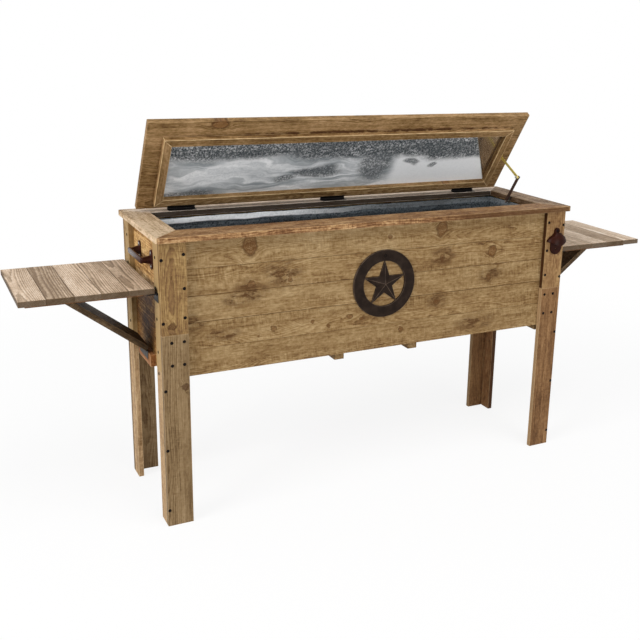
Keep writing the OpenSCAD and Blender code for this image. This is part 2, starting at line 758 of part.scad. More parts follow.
brace_hinge_leaf(-1);  // brace_hinge_leaf_left
brace_hinge_leaf(1);  // brace_hinge_leaf_right
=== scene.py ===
"""Dresses a wooden patio cooler: stained boards, galvanised lining, cast ironwork and a soft studio."""
import json
import logging
import math
import random
from dataclasses import dataclass, field, replace
from enum import Enum
from typing import Sequence

import bmesh
import bpy
from mathutils import Matrix, Vector

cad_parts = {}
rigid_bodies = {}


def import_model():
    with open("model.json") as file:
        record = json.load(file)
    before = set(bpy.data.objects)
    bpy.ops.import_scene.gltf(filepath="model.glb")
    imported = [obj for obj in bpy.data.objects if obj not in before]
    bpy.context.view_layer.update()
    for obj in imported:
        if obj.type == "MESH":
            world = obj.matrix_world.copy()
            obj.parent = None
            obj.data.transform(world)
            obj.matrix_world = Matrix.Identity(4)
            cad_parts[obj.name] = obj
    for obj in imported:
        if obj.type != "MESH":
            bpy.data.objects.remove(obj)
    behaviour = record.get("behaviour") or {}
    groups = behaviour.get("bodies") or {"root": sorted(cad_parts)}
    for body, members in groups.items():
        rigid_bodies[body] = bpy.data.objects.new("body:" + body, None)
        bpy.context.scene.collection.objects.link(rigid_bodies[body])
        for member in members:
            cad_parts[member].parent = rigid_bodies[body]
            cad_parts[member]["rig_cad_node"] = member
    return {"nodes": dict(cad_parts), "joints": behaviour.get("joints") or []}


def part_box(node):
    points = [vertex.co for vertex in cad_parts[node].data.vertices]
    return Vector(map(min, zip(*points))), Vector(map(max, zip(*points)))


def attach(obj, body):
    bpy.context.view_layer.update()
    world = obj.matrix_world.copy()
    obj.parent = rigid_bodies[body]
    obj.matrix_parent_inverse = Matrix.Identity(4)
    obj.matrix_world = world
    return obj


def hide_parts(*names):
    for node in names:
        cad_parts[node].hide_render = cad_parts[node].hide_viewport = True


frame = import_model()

LOG = logging.getLogger("cooler")
MM = 0.001
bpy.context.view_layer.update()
Point = tuple[float, float]
Number = "Sock | float"


class Axis(Enum):
    """The row axis that a board's grain runs along."""

    X = 0
    Y = 1
    Z = 2


class End(Enum):
    """The two ends of the cooler."""

    LEFT = -1
    RIGHT = 1

    @property
    def word(self) -> str:
        """The end's name as it stands in the names of nodes."""
        return self.name.lower()


def tint(code: str) -> tuple[float, float, float, float]:
    """Turns a colour as it shows into the shader's linear values.

    Args:
        code: The colour as six hexadecimal digits after a hash.

    Returns:
        Linear red, green, blue and an alpha of 1.
    """
    parts = [int(code[i:i + 2], 16) / 255 for i in (1, 3, 5)]
    linear = [p / 12.92 if p <= 0.04045 else ((p + 0.055) / 1.055) ** 2.4 for p in parts]
    return (*linear, 1.0)


class Sock:
    """A shader socket that Python's operators turn into Math nodes."""

    def __init__(self, graph: "Graph", socket: bpy.types.NodeSocket | None) -> None:
        """Keeps the graph and the output socket that this value comes from."""
        self.graph = graph
        self.socket = socket

    def __add__(self, other: Number) -> "Sock":
        """Sum of two values."""
        return self.graph.maths("ADD", self, other)

    def __radd__(self, other: float) -> "Sock":
        """Sum with a number on the left."""
        return self.graph.maths("ADD", other, self)

    def __sub__(self, other: Number) -> "Sock":
        """Difference of two values."""
        return self.graph.maths("SUBTRACT", self, other)

    def __rsub__(self, other: float) -> "Sock":
        """Difference from a number on the left."""
        return self.graph.maths("SUBTRACT", other, self)

    def __mul__(self, other: Number) -> "Sock":
        """Product of two values."""
        return self.graph.maths("MULTIPLY", self, other)

    def __rmul__(self, other: float) -> "Sock":
        """Product with a number on the left."""
        return self.graph.maths("MULTIPLY", other, self)

    def __truediv__(self, other: Number) -> "Sock":
        """Quotient of two values."""
        return self.graph.maths("DIVIDE", self, other)

    def __pow__(self, power: Number) -> "Sock":
        """Power of a value."""
        return self.graph.maths("POWER", self, power)

    def top(self, other: Number) -> "Sock":
        """The larger of two values."""
        return self.graph.maths("MAXIMUM", self, other)

    def low(self, other: Number) -> "Sock":
        """The smaller of two values."""
        return self.graph.maths("MINIMUM", self, other)

    def fraction(self) -> "Sock":
        """What is left after the decimal point."""
        return self.graph.maths("FRACT", self)

    def sister(self, out: int | str) -> "Sock":
        """Another output of the same node, by name or place."""
        return Sock(self.graph, self.socket.node.outputs[out])

    def ramp(self, start: float, end: float, low: float = 0.0, high: float = 1.0) -> "Sock":
        """Smooth step from low to high while the value goes from start to end.

        Args:
            start: Value where the step starts.
            end: Value where the step ends.
            low: Result before the step.
            high: Result after the step.

        Returns:
            The stepped value.
        """
        return self.graph.node(
            "ShaderNodeMapRange", {"interpolation_type": "SMOOTHSTEP"},
            {0: self, 1: start, 2: end, 3: low, 4: high})


class Graph:
    """The nodes of one material or of the surround, each made by one method."""

    def __init__(self, owner: bpy.types.Material | bpy.types.World) -> None:
        """Starts with no nodes.

        Args:
            owner: The material or the world.
        """
        owner.use_nodes = True
        self.owner = owner
        self.tree = owner.node_tree
        self.tree.nodes.clear()

    @staticmethod
    def of_material(name: str) -> "Graph":
        """The graph of a new material."""
        return Graph(bpy.data.materials.new(name))

    def node(self, kind: str, settings: dict | None = None, inputs: dict | None = None,
             out: int | str = 0) -> Sock:
        """Adds a node.

        Args:
            kind: The node's type.
            settings: Properties that are set first. "stops" fills a colour ramp.
            inputs: Values or links for the node's sockets, by name or place.
            out: The output that is handed back.

        Returns:
            The chosen output, which is empty where the node has none.
        """
        made = self.tree.nodes.new(kind)
        for key, value in (settings or {}).items():
            if key == "stops":
                self._fill_ramp(made.color_ramp, value)
            else:
                setattr(made, key, value)
        for key, value in (inputs or {}).items():
            if isinstance(value, Sock):
                self.tree.links.new(value.socket, made.inputs[key])
            else:
                made.inputs[key].default_value = value
        return Sock(self, made.outputs[out] if made.outputs else None)

    def _fill_ramp(self, ramp: bpy.types.ColorRamp, stops: Sequence[tuple[float, str]]) -> None:
        """Sets a colour ramp's stops.

        Args:
            ramp: The ramp.
            stops: The place and the colour of each stop.
        """
        while len(ramp.elements) < len(stops):
            ramp.elements.new(0.5)
        for element, (place, code) in zip(ramp.elements, stops):
            element.position = place
            element.color = tint(code)

    def maths(self, operation: str, *values: Number) -> Sock:
        """One Math node on one to three values."""
        return self.node("ShaderNodeMath", {"operation": operation}, dict(enumerate(values)))

    def vector(self, x: Number, y: Number, z: Number = 0.0) -> Sock:
        """Three values as one vector."""
        return self.node("ShaderNodeCombineXYZ", None, {0: x, 1: y, 2: z})

    def parts(self, vector: Sock) -> tuple[Sock, Sock, Sock]:
        """A vector's three values."""
        first = self.node("ShaderNodeSeparateXYZ", None, {0: vector})
        return first, first.sister(1), first.sister(2)

    def attribute(self, name: str) -> Sock:
        """A number that the mesh carries."""
        return self.node("ShaderNodeAttribute", {"attribute_name": name}, None, "Fac")

    def place(self, name: str) -> Sock:
        """A place that the mesh carries, as a vector."""
        return self.node("ShaderNodeAttribute", {"attribute_name": name}, None, "Vector")

    def object_place(self) -> Sock:
        """The place in the object's own frame, for solids that carry no places."""
        return self.node("ShaderNodeTexCoord", None, None, "Object")

    def noise(self, vector: Sock, scale: float = 1.0, detail: float = 3.0, rough: float = 0.6) -> Sock:
        """Cloudy noise on a vector, from 0 to 1 with most of it near 0.5."""
        return self.node("ShaderNodeTexNoise", None,
                         {"Vector": vector, "Scale": scale, "Detail": detail, "Roughness": rough})

    def sway(self, vector: Sock, detail: float = 3.0, rough: float = 0.6) -> tuple[Sock, Sock, Sock]:
        """Three separate noises at one place, which push outlines out of true."""
        return self.parts(self.noise(vector, 1.0, detail, rough).sister(1))

    def mix(self, factor: Number, first: object, second: object) -> Sock:
        """Two colours mixed.

        Args:
            factor: Share of the second colour.
            first: Colour or link where the factor is 0.
            second: Colour or link where the factor is 1.

        Returns:
            The mixed colour.
        """
        return self.node("ShaderNodeMix", {"data_type": "RGBA", "blend_type": "MIX"},
                         {0: factor, 6: first, 7: second}, 2)

    def finish(self, colour: Sock, roughness: Number, height: Sock, depth: float,
               metallic: Number = 0.0, shine: float = 0.5) -> bpy.types.Material:
        """Feeds the shader and hands the material back.

        Args:
            colour: Base colour over the surface.
            roughness: Roughness over the surface.
            height: Height over the surface, from 0 to 1.
            depth: What a height of 1 means, in metres.
            metallic: Share of metal over the surface.
            shine: Level of the shine, the same all over.

        Returns:
            The finished material.
        """
        bump = self.node("ShaderNodeBump", None, {"Strength": 1.0, "Distance": depth, "Height": height})
        shader = self.node("ShaderNodeBsdfPrincipled", None, {
            "Base Color": colour, "Roughness": roughness, "Metallic": metallic, "Normal": bump,
            "Specular IOR Level": shine})
        self.node("ShaderNodeOutputMaterial", None, {"Surface": shader})
        return self.owner


@dataclass(frozen=True)
class Patch:
    """An oval patch on a face: its place and its half sizes along and up the face, in metres."""

    along: float
    up: float
    half_along: float
    half_up: float

    def distance(self, along: Sock, up: Sock) -> Sock:
        """Distance from the patch's middle, where 1 is its edge.

        Args:
            along: Place along the face.
            up: Place up the face.

        Returns:
            The distance, counted in the patch's own half sizes.
        """
        first = (along - self.along) * (1 / self.half_along)
        second = (up - self.up) * (1 / self.half_up)
        return (first * first + second * second) ** 0.5


@dataclass(frozen=True)
class Stretch:
    """Noise drawn out along the grain, with its spots per metre along and across it."""

    along: float
    across: float
    detail: float = 2.0
    rough: float = 0.55

    def noise(self, g: Graph, x: Sock, y: Sock, z: Sock) -> Sock:
        """The noise at a place in a board.

        Args:
            g: The graph.
            x: Place along the grain.
            y: Place across the board's face.
            z: Place through the board.

        Returns:
            The noise, from 0 to 1.
        """
        place = g.vector(x * self.along, y * self.across, z * self.across)
        return g.noise(place, 1.0, self.detail, self.rough)


@dataclass(frozen=True)
class Figure:
    """How much each part of a board's figure counts in its shade or in its relief."""

    band: float = 0.0
    streak: float = 0.0
    fibre: float = 0.0
    cloud: float = 0.0
    mottle: float = 0.0
    saw: float = 0.0
    ring: float = 0.0
    tone: float = 0.0
    rim: float = 0.0
    core: float = 0.0


MOTTLE = Stretch(80, 150, 3.0, 0.65)
BAND = Stretch(1.8, 26)
STREAK = Stretch(5, 170, 3.0, 0.65)
FIBRE = Stretch(16, 800, 2.0, 0.6)
CLOUD = Stretch(12, 26, 4.0, 0.65)
SAWN = Stretch(4, 20)
WEAR = Stretch(30, 90)
SHADE = Figure(band=0.6, streak=0.8, fibre=0.8, cloud=0.8, mottle=0.9, saw=0.6, ring=0.24, tone=0.5)
RELIEF = Figure(streak=0.6, fibre=0.3, mottle=0.3, saw=1.6, ring=0.25, rim=0.5, core=0.2)
SHADE_STOPS = (0.04, 0.32, 0.5, 0.68, 0.96)
EVERYWHERE = -9.0


@dataclass(frozen=True)
class Finish:
    """What every finish has: a name, the slot that it fills and a way to make its material."""

    name: str
    slot: str

    def material(self) -> bpy.types.Material:
        """Builds the finish as a material."""
        raise NotImplementedError


@dataclass(frozen=True)
class WoodFinish(Finish):
    """Stained softwood, cut from a log: growth rings, fibres, saw marks, knots and arrises that are worn
    and, where pale, partly a painted highlight.

    The shares count against a usual board of 1. Colours run from the darkest shade to the palest.
    """

    shades: tuple[str, str, str, str, str]
    knot: str = "#6b4423"
    arris: str = "#cdb088"
    arris_share: float = 0.55
    ring_pitch: float = 0.0024
    rings: float = 1.0
    lines: float = 1.0
    clouds: float = 1.0
    saw_marks: float = 1.0
    knot_share: float = 0.15
    roughness: float = 0.62
    bend: float = 1.0
    knots: tuple[Patch, ...] = ()
    smudges: tuple[Patch, ...] = ()
    smudge_share: float = 1.4
    shake: float = 0.024
    side: str = "#4a3218"
    side_share: float = 0.0
    side_from: float = EVERYWHERE
    side_fade: float = 0.25
    relief: float = 1.2 * MM
    shine: float = 0.1

    def material(self) -> bpy.types.Material:
        """Builds the finish as a material.

        Returns:
            The material, which reads the grain, the place, the tone, the arris and the side of a
            board mesh.
        """
        g = Graph.of_material(self.name)
        x, y, z = g.parts(g.place("grain"))
        tone = g.attribute("tone")
        arris = g.attribute("arris")
        mottle = MOTTLE.noise(g, x, y, z)
        distance, pushed = self._knots(g, x, y)
        y = y - pushed
        late = self._late_wood(g, x, y, z, mottle)
        band = BAND.noise(g, x, y, z) - 0.5
        streak = STREAK.noise(g, x, y, z) - 0.5
        fibre = FIBRE.noise(g, x, y, z) - 0.5
        cloud = CLOUD.noise(g, x, y, z) - 0.5
        sawn = SAWN.noise(g, x, y, z).ramp(0.42, 0.62)
        saw = g.noise(g.vector(x * 230 + y * 30, y * 26, z * 26), 1.0, 2.0) - 0.5
        shade = (0.5 + (band * SHADE.band + streak * SHADE.streak + fibre * SHADE.fibre) * self.lines
                 + (cloud * SHADE.cloud + (mottle - 0.5) * SHADE.mottle) * self.clouds
                 + saw * (sawn + 0.15) * SHADE.saw * self.saw_marks
                 + (0.35 - late) * SHADE.ring * self.rings - tone * SHADE.tone)
        colour = g.node("ShaderNodeValToRGB", {"stops": tuple(zip(SHADE_STOPS, self.shades))}, {0: shade})
        rim = distance.ramp(0.8, 1.0) * distance.ramp(1.0, 1.35, 1.0, 0.0)
        core = distance.ramp(0.85, 1.02, 1.0, 0.0)
        colour = g.mix(rim * (0.3 + mottle), colour, tint(self.shades[0]))
        grown = (distance * 4.5 + mottle * 2).fraction().ramp(0.2, 0.8, 0.45, 1.0)
        colour = g.mix(core * grown * (0.4 + mottle * 0.8), colour, tint(self.knot))
        # Side faces take the side colour from side_from onwards. In some finishes this is the edge's own
        # colour, in others painted shade or a painted highlight on the edges, as each finish says.
        if self.side_share:
            started = g.parts(g.place("spot"))[0].ramp(self.side_from, self.side_from + self.side_fade)
            colour = g.mix(g.attribute("side") * self.side_share * started, colour, tint(self.side))
        # Arrises take the arris colour, broken by noise: dark arris colours are joints; pale ones are partly
        # worn stain and partly a painted highlight along the rounded edges.
        worn = arris * WEAR.noise(g, x, y, z).ramp(0.3, 0.6, 0.3, 1.0)
        colour = g.mix(worn * self.arris_share, colour, tint(self.arris))
        # Smudge patches darken towards the darkest shade: on the front planks they are dark stain, on the
        # lid a painted shade line along the top of the inner frame.
        if self.smudges:
            shadow = mottle.ramp(0.3, 0.62) * 0.5 + streak * 1.4 + 0.2
            colour = g.mix(self._smudged(g) * (shadow * self.smudge_share), colour, tint(self.shades[0]))
        rough = self.roughness - streak * 0.3 - late * 0.06
        height = (late * RELIEF.ring + streak * RELIEF.streak + fibre * RELIEF.fibre
                  + saw * sawn * self.saw_marks * RELIEF.saw
                  + rim * RELIEF.rim - core * RELIEF.core + mottle * RELIEF.mottle)
        return g.finish(colour, rough, height, self.relief, 0.0, self.shine)

    def _late_wood(self, g: Graph, x: Sock, y: Sock, z: Sock, mottle: Sock) -> Sock:
        """The dark late part of each growth ring, round a heart that wanders along the board.

        Args:
            g: The graph.
            x: Place along the grain.
            y: Place across the board's face.
            z: Place through the board.
            mottle: Fine noise that frays the rings.

        Returns:
            The late wood, from 0 to 1.
        """
        first, second, _ = g.sway(g.vector(x * 2.2, y * 5.0, z * 5.0), 1.5, 0.55)
        from_heart_y = y + (first - 0.5) * 0.05 * self.bend
        from_heart_z = z + (second - 0.5) * 0.07 * self.bend
        radius = (from_heart_y * from_heart_y + from_heart_z * from_heart_z) ** 0.5 + (mottle - 0.5) * 0.0012
        phase = (radius / self.ring_pitch).fraction()
        return phase.ramp(0.2, 0.85) * phase.ramp(0.9, 1.0, 1.0, 0.0)

    def _knots(self, g: Graph, x: Sock, y: Sock) -> tuple[Sock, Sock]:
        """Works out how far each point lies from the knots.

        Args:
            g: The graph.
            x: Place along the grain.
            y: Place across the grain.

        Returns:
            Distance from the nearest knot, where 1 is its edge, and how far the grain is pushed aside.
        """
        first, second, _ = g.sway(g.vector(x * 60, y * 60))
        cells_along, cells_across = 5.0, 9.0
        cell_x = (x + (first - 0.5) * 0.012) * cells_along
        cell_y = (y + (second - 0.5) * 0.012) * cells_across
        cells = g.node("ShaderNodeTexVoronoi", {"voronoi_dimensions": "2D"},
                       {"Vector": g.vector(cell_x, cell_y), "Scale": 1.0, "Randomness": 1.0})
        drawn = g.parts(cells.sister("Color"))[0]
        middle = g.parts(cells.sister("Position"))[1]
        chosen = drawn.ramp(1 - self.knot_share, 1.02 - self.knot_share)
        distance = cells / drawn.ramp(1 - self.knot_share, 1.0, 0.03, 0.12) + (1 - chosen) * 9
        pushed = (cell_y - middle) * (1 / cells_across) * distance.ramp(0.5, 4.0, 0.85, 0.0)
        if not self.knots:
            return distance, pushed
        along, _, up = g.parts(g.place("spot"))
        shaken_along, shaken_up = self._shaken(g, along, up)
        for patch in self.knots:
            away = patch.distance(shaken_along, shaken_up)
            pushed = pushed + (up - patch.up) * away.ramp(0.5, 3.0, 0.8, 0.0)
            distance = distance.low(away)
        return distance, pushed

    def _shaken(self, g: Graph, along: Sock, up: Sock) -> tuple[Sock, Sock]:
        """Moves a place by a little noise, so that what is drawn there has a ragged outline."""
        first, second, _ = g.sway(g.vector(along * 55, up * 55))
        return along + (first - 0.5) * self.shake, up + (second - 0.5) * self.shake

    def _smudged(self, g: Graph) -> Sock:
        """How much the smudge patches cover each point: dark stain, and on the lid a painted shade line.

        Args:
            g: The graph.

        Returns:
            The cover, broken up by noise.
        """
        along, _, up = g.parts(g.place("spot"))
        shaken_along, shaken_up = self._shaken(g, along, up)
        distance = self.smudges[0].distance(shaken_along, shaken_up)
        for patch in self.smudges[1:]:
            distance = distance.low(patch.distance(shaken_along, shaken_up))
        broken = g.noise(g.vector(along * 24, up * 60)).ramp(0.38, 0.6, 0.15, 1.25)
        return distance.ramp(0.4, 1.6, 1.0, 0.0) * broken


@dataclass(frozen=True)
class Galvanised(Finish):
    """What the zinc-coated sheets share: colours of the coating, which also paint its reflections, and its
    fine crystals.
    """

    slot: str = "galvanised_sheet"
    dark: str = "#363e42"
    mid: str = "#9aa1a5"
    bright: str = "#fbfcfd"

    def crystals(self, g: Graph, place: Sock) -> tuple[Sock, Sock]:
        """Fine crystals and specks.

        Args:
            g: The graph.
            place: Place in the row frame.

        Returns:
            A value for each crystal, and the share of bright specks.
        """
        cells = g.node("ShaderNodeTexVoronoi", None, {"Vector": place, "Scale": 210.0})
        grain = g.parts(cells.sister("Color"))[0]
        return grain, g.noise(place, 260.0, 2.0, 0.7).ramp(0.46, 0.6)


@dataclass(frozen=True)
class LiningFinish(Galvanised):
    """The lid's sheet, with painted reflections: a dark speckled band along the free edge, bright waves and
    a clear end.

    The dark reflection patches join the dark band. Each is a patch by its place along the lid, in metres,
    and its share of the way down the sheet.
    """

    depth: float = 192.7 * MM
    hollows: tuple[Patch, ...] = (Patch(0.108, 0.5, 0.062, 0.46), Patch(-0.09, 0.62, 0.085, 0.12),
                                  Patch(-0.19, 0.72, 0.05, 0.07), Patch(-0.47, 0.95, 0.1, 0.1),
                                  Patch(0.245, 0.5, 0.03, 0.06), Patch(0.3, 0.58, 0.015, 0.05))
    clear_tint: str = "#c3b9a8"
    relief: float = 0.1 * MM

    def material(self) -> bpy.types.Material:
        """Builds the finish as a material.

        Returns:
            The material, which reads the place and the flat place of the sheet's mesh.
        """
        g = Graph.of_material(self.name)
        place = g.place("spot")
        along, _, up = g.parts(place)
        _, across, _ = g.parts(g.place("flat"))
        down = across * (1 / self.depth) + 0.5
        first, second, _ = g.sway(g.vector(along * 4.5, down * 1.6), 3.0, 0.55)
        bent_along = along + (first - 0.5) * 0.22
        bent_down = down + (second - 0.5) * 0.75
        # The bright waves and the calm end are painted reflection of the lit tub in the sheet.
        wave = g.noise(g.vector(bent_along * 4, bent_down * 5.5), 1.0, 3.0, 0.55).ramp(0.36, 0.62)
        thin = g.noise(g.vector(bent_along * 7, bent_down * 22), 1.0, 2.0).ramp(0.4, 0.65)
        grain, speck = self.crystals(g, place)
        edge = 0.36 + (along + 0.2).top(0.0) * 0.2
        # The dark speckled band along the free edge and the dark patches are painted reflection of the
        # shaded front of the tub.
        dark_reflection = (down + (second - 0.5) * 0.35 + (first - 0.5) * 0.25 - edge).ramp(-0.08, 0.08, 1.0, 0.0)
        for dark_patch in self.hollows:
            away = dark_patch.distance(along + (first - 0.5) * 0.16, down + (second - 0.5) * 0.5)
            dark_reflection = dark_reflection.top(away.ramp(0.55, 1.2, 0.85, 0.0))
        calm = along.ramp(0.15, 0.19)
        sweep = (wave * 0.75 + thin * 0.25) * (1 - calm) + calm * 0.95
        colour = g.mix(sweep, tint(self.mid), tint(self.bright))
        colour = g.mix((grain - 0.45).top(0.0) * (0.35 - calm * 0.25), colour, tint(self.mid))
        coarse = g.noise(place, 150.0, 2.0).ramp(0.48, 0.64) * 0.42 + speck * 0.25
        speckled = g.mix(coarse * wave.ramp(0.0, 1.0, 0.5, 1.0), tint(self.dark), tint(self.bright))
        colour = g.mix(dark_reflection, colour, speckled)
        # The clear end mirrors for real through low roughness and high metal; its brownish tint is painted
        # reflection of the wooden frame.
        clear = (along + (up - 0.8) * 0.645).ramp(0.561, 0.567)
        colour = g.mix(clear, colour, tint(self.clear_tint))
        rough = 0.5 + (grain - 0.5) * 0.14 - clear * 0.42
        height = grain * 0.4 + speck * dark_reflection * 0.6 - clear * grain * 0.4
        return g.finish(colour, rough, height, self.relief, 0.1 + clear * 0.85)


@dataclass(frozen=True)
class TubFinish(Galvanised):
    """The tub's sheet: a bright streak below the rim, a painted highlight that fades to the right, and dark
    waves under it.
    """

    dark: str = "#11171b"
    mid: str = "#6c757b"
    streak_top: float = 0.777
    streak_low: float = 0.764
    relief: float = 0.25 * MM

    def material(self) -> bpy.types.Material:
        """Builds the finish as a material.

        Returns:
            The material, which reads the place in the tub's own frame.
        """
        g = Graph.of_material(self.name)
        place = g.object_place()
        along, back, up = g.parts(place)
        first, _, third = g.sway(g.vector(along * 5, back * 5, up * 14))
        bent = up + (third - 0.5) * 0.02
        wave = g.noise(g.vector(along * 3 + first * 1.5, back * 6, bent * 55)).ramp(0.4, 0.62)
        fine = g.noise(g.vector(along * 8, back * 8, bent * 190), 1.0, 3.0, 0.65).ramp(0.42, 0.66)
        grain, speck = self.crystals(g, place)
        fade = along.ramp(-0.25, 0.2, 1.0, 0.12)
        # The streak is a painted highlight on the sheet just under the bead, fading to the right.
        streak = bent.ramp(self.streak_low - 0.002, self.streak_low + 0.002)
        streak = streak * bent.ramp(self.streak_top, self.streak_top + 0.003, 1.0, 0.0) * fade
        colour = g.mix(wave * 0.6 + fine * 0.35, tint(self.dark), tint(self.mid))
        colour = g.mix(streak * (0.8 + wave * 0.2), colour, tint(self.bright))
        colour = g.mix((grain - 0.5).top(0.0) * 0.4, colour, tint(self.mid))
        colour = g.mix(speck * 0.06, colour, tint(self.bright))
        rough = 0.36 + (grain - 0.5) * 0.16 - wave * 0.06
        height = grain * 0.4 + wave * 0.5 + fine * 0.3
        return g.finish(colour, rough, height, self.relief, 0.45 - streak * 0.42)


@dataclass(frozen=True)
class CastFinish(Finish):
    """Painted cast metal: fine sand texture, pale edges that are partly worn paint and partly a painted
    highlight, and dark clouds.
    """

    slot: str = "cast_metal"
    base: str = "#1c120d"
    rubbed: str = "#33251c"
    dust: str = "#0a0605"
    roughness: float = 0.45
    shine: float = 0.1
    relief: float = 0.3 * MM

    def material(self) -> bpy.types.Material:
        """Builds the finish as a material.

        Returns:
            The material, which reads the arris of a casting's mesh.
        """
        g = Graph.of_material(self.name)
        place = g.object_place()
        sand = g.noise(place, 900.0)
        cloud = g.noise(place, 40.0)
        # Edges take the pale colour: partly worn paint, partly a painted highlight along the ridges.
        edge = g.attribute("arris") * cloud.ramp(0.3, 0.6, 0.3, 1.0)
        colour = g.mix(cloud.ramp(0.4, 0.75) * 0.1 + sand * 0.08, tint(self.base), tint(self.rubbed))
        colour = g.mix(edge * 0.8, colour, tint(self.rubbed))
        colour = g.mix(cloud.ramp(0.3, 0.5, 0.3, 0.0), colour, tint(self.dust))
        rough = self.roughness + (sand - 0.5) * 0.25 - edge * 0.12
        return g.finish(colour, rough, sand * 0.6 + cloud * 0.4, self.relief, 0.0, self.shine)


@dataclass(frozen=True)
class SteelFinish(Finish):
    """Small steelwork, black, bare or yellow zinc, with scuffs and clouds."""

    base: str
    worn: str
    metallic: float
    roughness: float
    shine: float = 0.5
    relief: float = 0.12 * MM

    def material(self) -> bpy.types.Material:
        """Builds the finish as a material.

        Returns:
            The material, which reads the place in the object's own frame.
        """
        g = Graph.of_material(self.name)
        place = g.object_place()
        cloud = g.noise(place, 55.0, 4.0)
        scuff = g.noise(place, 380.0, 3.0, 0.7).ramp(0.55, 0.72)
        tinted = g.noise(place, 18.0, 2.0, 0.5).ramp(0.35, 0.65)
        colour = g.mix(scuff * 0.45 + cloud * 0.15, tint(self.base), tint(self.worn))
        colour = g.mix(tinted * 0.2, colour, tint(self.worn))
        rough = self.roughness + (cloud - 0.5) * 0.3 + scuff * 0.1
        return g.finish(colour, rough, cloud * 0.5 + scuff * 0.5, self.relief, self.metallic, self.shine)


@dataclass
class Workshop:
    """Makes each finish once, dresses pieces and nodes with it and lists the pieces that are ready."""

    made: dict[str, bpy.types.Material] = field(default_factory=dict)
    ready: list[bpy.types.Object] = field(default_factory=list)

    def dress(self, obj: bpy.types.Object, finish: Finish) -> None:
        """Gives an object one finish.

        Args:
            obj: The piece or node.
            finish: Its finish.
        """
        if finish.name not in self.made:
            self.made[finish.name] = finish.material()
        obj.data.materials.clear()
        obj.data.materials.append(self.made[finish.name])
        "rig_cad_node" not in obj

    def hand_over(self, obj: bpy.types.Object, finish: Finish, body: str, *nodes: str) -> None:
        """Dresses a piece, sets it on its body and lets it stand for its nodes.

        Args:
            obj: The piece.
            finish: Its finish.
            body: The body that it moves with.
            *nodes: The nodes that it replaces, if any.
        """
        self.dress(obj, finish)
        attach(obj, body)
        if nodes:
            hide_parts(*nodes)
        self.ready.append(obj)


PLANK_KNOTS = (
    Patch(-0.394, 0.757, 0.018, 0.028), Patch(-0.391, 0.649, 0.010, 0.010),
    Patch(-0.306, 0.668, 0.007, 0.008), Patch(-0.280, 0.657, 0.005, 0.010),
    Patch(-0.501, 0.529, 0.007, 0.004), Patch(-0.329, 0.518, 0.006, 0.006),
    Patch(-0.060, 0.516, 0.006, 0.005), Patch(-0.373, 0.504, 0.004, 0.003),
    Patch(0.026, 0.747, 0.006, 0.007), Patch(0.197, 0.756, 0.016, 0.022),
    Patch(0.202, 0.669, 0.009, 0.009), Patch(0.380, 0.676, 0.014, 0.016),
    Patch(0.372, 0.594, 0.010, 0.009), Patch(0.070, 0.467, 0.006, 0.006),
    Patch(0.190, 0.536, 0.009, 0.008), Patch(-0.165, 0.506, 0.004, 0.004),
    Patch(-0.214, 0.525, 0.003, 0.004),
)
PLANK_SMUDGES = (
    Patch(-0.300, 0.672, 0.050, 0.034), Patch(-0.392, 0.632, 0.046, 0.028),
    Patch(-0.440, 0.612, 0.030, 0.020), Patch(-0.470, 0.520, 0.040, 0.015),
    Patch(0.205, 0.672, 0.040, 0.026), Patch(0.378, 0.600, 0.036, 0.024),
    Patch(0.190, 0.540, 0.036, 0.020), Patch(0.330, 0.455, 0.060, 0.022),
    Patch(-0.550, 0.560, 0.03, 0.02),
)
PLANK = WoodFinish("stained_plank", "front_wood", ("#4f351b", "#735836", "#876d48", "#937b57", "#a9906a"),
                   arris="#573b1f", arris_share=0.75, knot_share=0.04, knots=PLANK_KNOTS,
                   smudges=PLANK_SMUDGES, rings=0.8, lines=0.75, knot="#54300f")
END_PLANK = WoodFinish("stained_end_plank", "front_wood",
                       ("#4a2d13", "#7f572c", "#a37b47", "#c39861", "#ecd096"),
                       knot_share=0.1, arris="#3d2812", arris_share=0.6)
RIM_WOOD = WoodFinish("stained_rim", "front_wood", ("#55351c", "#7f5c3c", "#96734c", "#aa8962", "#c4a17b"),
                      arris="#c2a47c", arris_share=0.35, knot_share=0.1, clouds=1.5, knot="#53301c")
# Left rim: paler, greyer shades, partly the wood's own colour and partly painted light on its top face.
LEFT_RIM_WOOD = replace(RIM_WOOD, name="stained_left_rim",
                        shades=("#5c422d", "#886c50", "#a18664", "#b79e7e", "#d3bb9d"))
FRONT_RIM_WOOD = replace(RIM_WOOD, name="stained_front_rim", side="#41260f", side_share=0.8,
                         side_from=0.08)
# Right rim: greyer shades of its own; the dark side colour is painted shade on its edges.
RIGHT_RIM_WOOD = replace(RIM_WOOD, name="stained_right_rim", side="#3a2412", side_share=0.75,
                         shades=("#4e3a28", "#77614b", "#8f7860", "#a58f77", "#c0ac95"))
# Rear rim: the pale shades and pale arris are painted light on its top face; the dark side colour is painted
# shade on its edges.
REAR_RIM_WOOD = WoodFinish("stained_rear_rim", "front_wood",
                           ("#8a7058", "#b19a82", "#cdb9a4", "#d9c8b5", "#ebdfd2"), knot_share=0.05,
                           arris="#efe2d4", side="#1e130a", side_share=0.95)
POST_WOOD = WoodFinish("stained_post", "post_wood", ("#543c20", "#6f5335", "#80643d", "#90754b", "#a2865c"),
                       arris="#b89a6c", knot_share=0.06, arris_share=0.4, lines=0.75,
                       knots=(Patch(-0.612, 0.563, 0.011, 0.008),), knot="#371a08")
